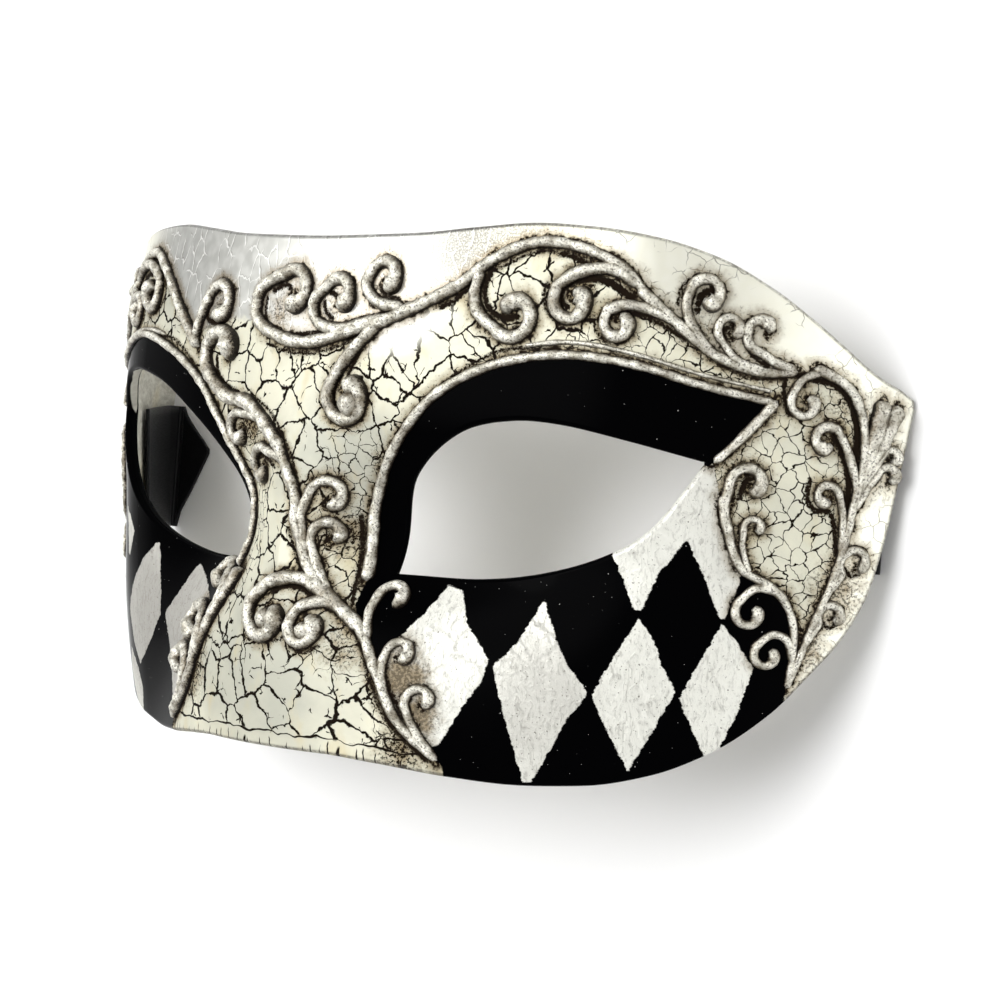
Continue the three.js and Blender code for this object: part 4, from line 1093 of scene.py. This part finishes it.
def build_shell():
    loops = [face_outline(), eye_outline(1), eye_outline(-1)]
    outer_chart, outer_faces = triangulated(loops, FINE)
    inner_chart, inner_faces = triangulated(loops, COARSE)
    charts = [outer_chart, inner_chart]
    depths = [np.zeros(len(outer_chart)), np.full(len(inner_chart), WALL)]
    cuts = [np.zeros(len(outer_chart)), np.zeros(len(inner_chart))]
    points = [off_face(outer_chart, 0), off_face(inner_chart, -WALL)]
    faces = [*outer_faces.tolist(), *(inner_faces[:, ::-1] + len(outer_chart)).tolist()]
    inside_from, inside_to = len(outer_faces), len(faces)

    # Rounded strips from the outer face to the inner one along each edge
    first = 0
    total = len(outer_chart) + len(inner_chart)
    for loop in loops:
        count = len(loop)
        bare = np.clip((loop[:, 1] - BARE_FROM) / (BARE_FULL - BARE_FROM), 0, 1) * (loop is loops[2])
        beyond = drawn_in(loop, -EDGE_ROUND)
        out_from_edge = off_face(beyond, -WALL / 2) - off_face(loop, -WALL / 2)
        rings = [first + np.arange(count)]
        for k in range(1, EDGE_PROFILE):
            part = k / EDGE_PROFILE
            bulge = math.sin(math.pi * part) ** EDGE_FULLNESS
            charts.append(loop)
            depths.append(np.full(count, WALL * part))
            cuts.append(part * bare)
            points.append(off_face(loop, -WALL * part) + out_from_edge * bulge)
            rings.append(total + np.arange(count))
            total += count
        rings.append(len(outer_chart) + first + np.arange(count))
        for ring, below in zip(rings, rings[1:]):
            for i in range(count):
                j = (i + 1) % count
                faces.append([int(ring[i]), int(below[i]), int(below[j]), int(ring[j])])
        first += count

    chart = np.vstack(charts)
    piece = add_mesh("shell", to_row(np.vstack(points)), faces, [shell_material(), inside_material()])
    slots = np.zeros(len(faces), np.int32)
    slots[inside_from:inside_to] = 1
    piece.data.polygons.foreach_set("material_index", slots)

    vectors = piece.data.attributes.new("chart", "FLOAT_VECTOR", "POINT")
    with_depth = np.column_stack([chart, np.concatenate(depths)])
    vectors.data.foreach_set("vector", np.ascontiguousarray(with_depth, np.float32).ravel())
    add_paint_values(piece, chart, loops[0])
    add_values(piece, "cut", np.concatenate(cuts))
    add_values(piece, "front", (np.arange(len(chart)) < len(outer_chart)).astype(float))
    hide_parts("face_shell")
    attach(piece, "root")


def relief_strip(line, width, curled, seed):
    """Half-round strip along a chart line: points, faces and how near each point is to the crown.

    It swells at the end if curled, tapers or widens as a blade if not, and is a bulb if that is None.
    """
    count = len(line)
    along = np.gradient(line, axis=0)
    along /= np.linalg.norm(along, axis=1, keepdims=True)
    across = np.column_stack([-along[:, 1], along[:, 0]])
    lengths = run_along(line)
    part = lengths / lengths[-1]
    left = lengths[-1] - lengths
    slow, quick = lengths * WAVER_PACE[0], lengths * WAVER_PACE[1]
    waver = 1 + WAVER * (np.sin(slow + seed) + 0.6 * np.sin(quick + 2.1 * seed))
    if curled:
        here = width * (CURL_START + CURL_GROWTH * part) * waver
        here *= 1 + KNOB * np.exp(-((left - KNOB_BACK * width) / (KNOB_SPREAD * width)) ** 2)
    else:
        here = width * (STEM_START + (TIP_WIDTH - 1) * part) * waver
        if curled is None:
            here *= BULB_ENDS + BULB_SWELL * np.sin(math.pi * np.clip(part, 0.05, 0.98) ** 1.5)
        elif width >= LEAF_WIDTH:
            here *= BLADE_START + BLADE_GROWTH * part
    end_reach = width * (CURL_END if curled else STEM_END)
    end_round = np.sqrt(1 - np.clip(1 - left / end_reach, 0, 1) ** 2)
    start_round = np.sqrt(1 - np.clip(1 - lengths / (START_ROUND * width), 0, 1) ** 2)
    here = here * np.maximum(end_round * start_round, THINNEST)
    points = []
    crown = []
    for u in np.linspace(-1, 1, SECTION_POINTS):
        level = math.sqrt(1 - u * u)
        places = line + across * (u * here / 2)[:, None]
        lumps = LUMP * np.sin(lengths * LUMP_PACE[0] + 4 * u + seed)
        lumps *= np.sin(lengths * LUMP_PACE[1] - 3 * u + 2 * seed)
        height = here * (RELIEF_RISE + lumps) * level + RELIEF_FOOT * (level - FOOT_LEVEL)
        points.append(off_face(places, height))
        crown.append(np.full(count, level))
    faces = []
    for k in range(SECTION_POINTS):
        for i in range(count - 1):
            a = k * count + i
            b = (k + 1) % SECTION_POINTS * count + i
            faces.append((a, a + 1, b + 1, b))
    faces.append(tuple(k * count for k in range(SECTION_POINTS)))
    faces.append(tuple(k * count + count - 1 for k in reversed(range(SECTION_POINTS))))
    return np.vstack(points), faces, np.concatenate(crown)


def build_relief(name, node, strips, material):
    points = []
    faces = []
    crowns = []
    total = 0
    for number, (line, width, curled) in enumerate(strips):
        placed, sides, crown = relief_strip(line, width, curled, 1.7 * number)
        points.append(placed)
        faces += [tuple(total + i for i in side) for side in sides]
        crowns.append(crown)
        total += len(placed)
    piece = add_mesh(name, to_row(np.vstack(points)), faces, [material])
    add_values(piece, "crown", np.concatenate(crowns))
    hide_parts(node)
    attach(piece, "root")


def build_ribbon(name, node, side, material):
    """A folded strip: down the temple's inside, round the fold and out along the surface."""
    depth = -(WALL + RIBBON_GAP + RIBBON_THICKNESS / 2)
    reaches = np.linspace(GLUED_FROM, GLUED_TO, GLUED_STATIONS)
    height = GLUED_HEIGHT_LEFT if side > 0 else GLUED_HEIGHT_RIGHT
    wall = to_row(off_face(np.column_stack([side * reaches, np.full_like(reaches, height)]), depth)) / MM
    lean = np.array([0, math.cos(REST_TILT), math.sin(REST_TILT)])
    slope = wall[-1] - wall[-2]
    steep = math.atan2(-slope[2], abs(slope[0]))
    foot = wall[-1]
    fold_start = RIBBON_THICKNESS / 2 + FOLD_RADIUS * (1 + math.cos(steep))
    fold_x = foot[0] + slope[0] * (fold_start - foot[2]) / slope[2]
    fold_x -= side * FOLD_RADIUS * math.sin(steep)
    fold_z = RIBBON_THICKNESS / 2 + FOLD_RADIUS
    stations = [(place, lean, -0.5, 0.5) for place in wall]
    flat = np.array([0, 1.0, 0])
    for angle in np.linspace(steep, math.pi, FOLD_STATIONS):
        place = np.array([fold_x + side * FOLD_RADIUS * math.sin(angle), foot[1],
                          fold_z + FOLD_RADIUS * math.cos(angle)])
        stations.append((place, flat, -0.5, 0.5))
    ends = np.array(RIBBON_END)
    for inward in np.linspace(ends[0, 0], ends[-1, 0], END_STATIONS):
        below = np.interp(inward, ends[:, 0], ends[:, 1])
        above = np.interp(inward, ends[:, 0], ends[:, 2])
        place = np.array([fold_x - side * inward, foot[1], RIBBON_THICKNESS / 2])
        stations.append((place, flat, below - 0.5, 0.5 - above))
    middle = np.array([station[0] for station in stations])
    tangent = np.gradient(middle, axis=0)
    tangent /= np.linalg.norm(tangent, axis=1, keepdims=True)
    points = []
    for face in (-1, 1):
        for (place, up, low, high), ahead in zip(stations, tangent):
            normal = np.cross(ahead, up)
            normal /= np.linalg.norm(normal)
            for v in np.linspace(low, high, RIBBON_ACROSS):
                points.append(place + up * v * RIBBON_WIDTH + normal * face * RIBBON_HALF_DRAWN)
    points = np.array(points)
    points[:, 2] = np.maximum(points[:, 2], RIBBON_LOWEST)
    rows = len(stations)
    sheet = rows * RIBBON_ACROSS
    faces = []
    for i in range(rows - 1):
        for k in range(RIBBON_ACROSS - 1):
            a = i * RIBBON_ACROSS + k
            b = a + RIBBON_ACROSS
            faces.append((a, a + 1, b + 1, b))
            faces.append((sheet + a, sheet + b, sheet + b + 1, sheet + a + 1))
    border = list(range(RIBBON_ACROSS))
    border += [i * RIBBON_ACROSS + RIBBON_ACROSS - 1 for i in range(1, rows)]
    border += [(rows - 1) * RIBBON_ACROSS + k for k in range(RIBBON_ACROSS - 2, -1, -1)]
    border += [i * RIBBON_ACROSS for i in range(rows - 2, 0, -1)]
    for a, b in zip(border, border[1:] + border[:1]):
        faces.append((b, a, sheet + a, sheet + b))
    piece = add_mesh(name, points * MM, faces, [material])
    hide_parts(node)
    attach(piece, "root")


def add_surround():
    world = bpy.data.worlds.new("surround")
    bpy.context.scene.world = world
    s = Shader(world)
    direction = s.node("TexCoord", {}).outputs["Generated"]
    level = BETWEEN
    for towards, (start, full), strength in ((OVERHEAD_TOWARDS, OVERHEAD_RISE, OVERHEAD),
                                             ((0, 0, 1), LOW_RISE, LOW_DOWN),
                                             (SIDE_TOWARDS, SIDE_RISE, SIDE)):
        facing = s.node("VectorMath", {0: direction, 1: towards}, operation="DOT_PRODUCT")
        level = s.plus(s.ramp(facing.outputs["Value"], start, full, 0.0, strength - BETWEEN), level)
    background = s.nodes["Background"]
    s.set(background.inputs["Strength"], level)
    s.set(background.inputs["Color"], (1, 1, 1, 1))


def add_far_light():
    lamp = bpy.data.lights.new("far_light", "AREA")
    lamp.shape = "DISK"
    lamp.size = FAR_LIGHT_SIZE
    lamp.energy = FAR_LIGHT_WATTS
    light = bpy.data.objects.new("far_light", lamp)
    light.location = FAR_LIGHT_PLACE
    aim = Vector(FAR_LIGHT_AIM) - Vector(FAR_LIGHT_PLACE)
    light.rotation_euler = aim.to_track_quat("-Z", "Y").to_euler()
    light.visible_diffuse = False
    bpy.context.scene.collection.objects.link(light)


def add_camera():
    back = np.array([math.sin(VIEW_AZIMUTH) * math.cos(VIEW_ELEVATION), math.sin(VIEW_ELEVATION),
                     math.cos(VIEW_AZIMUTH) * math.cos(VIEW_ELEVATION)])
    right = np.cross((0, 1, 0), back)
    right /= np.linalg.norm(right)
    up = np.cross(back, right)
    rolled_right = math.cos(VIEW_ROLL) * right + math.sin(VIEW_ROLL) * up
    rolled_up = math.cos(VIEW_ROLL) * up - math.sin(VIEW_ROLL) * right
    middle = IMAGE_PIXELS / 2
    aim = (rolled_right * (middle - AXIS_PIXEL[0]) - rolled_up * (middle - AXIS_PIXEL[1])
           - back * FOCAL_PIXELS)
    place = to_row((VIEW_TARGET + VIEW_DISTANCE * back)[None])[0]
    z = -turned(aim / np.linalg.norm(aim))
    x = turned(rolled_right)
    x -= z * (x @ z)
    x /= np.linalg.norm(x)
    y = np.cross(z, x)
    data = bpy.data.cameras.new("camera")
    data.sensor_width = SENSOR
    data.lens = FOCAL_PIXELS * SENSOR / IMAGE_PIXELS
    data.clip_start = CLIP_START
    camera = bpy.data.objects.new("camera", data)
    rows = [[*axes, at] for axes, at in zip(np.column_stack([x, y, z]), place)]
    camera.matrix_world = Matrix([*rows, [0, 0, 0, 1]])
    bpy.context.scene.collection.objects.link(camera)
    bpy.context.scene.camera = camera


build_shell()
silver = relief_material()
for node, rows in SCROLLWORK.items():
    strips = [(scroll_line(row), row[3], row[1] is not None) for row in rows]
    for holder, start, end, width in BULBS:
        if holder == node:
            strips.append((even(np.array([start, end]), BULB_STEP), width, None))
    build_relief(node.replace("scroll", "relief"), node, strips, silver)
for label, side in (("left", 1), ("right", -1)):
    rim, corner = RIMS[side]
    cords = [(even(spline(line, SPANS) * (side, 1), RIM_STEP), width, False)
             for line, width in ((rim, RIM_WIDTH), (corner, RIM_WIDTH), (SECOND_RIM, SECOND_RIM_WIDTH))]
    build_relief(f"rim_{label}", f"eye_rim_{label}", cords, silver)
satin = ribbon_material()
build_ribbon("tie_left", "ribbon_left", 1, satin)
build_ribbon("tie_right", "ribbon_right", -1, satin)

corners = [(-FLOOR_HALF, -FLOOR_HALF, 0), (FLOOR_HALF, -FLOOR_HALF, 0),
           (FLOOR_HALF, FLOOR_HALF, 0), (-FLOOR_HALF, FLOOR_HALF, 0)]
floor = add_mesh("floor", corners, [(0, 1, 2, 3)], [floor_material()])

add_surround()
add_far_light()
add_camera()
bpy.context.scene.view_settings.view_transform = "Standard"
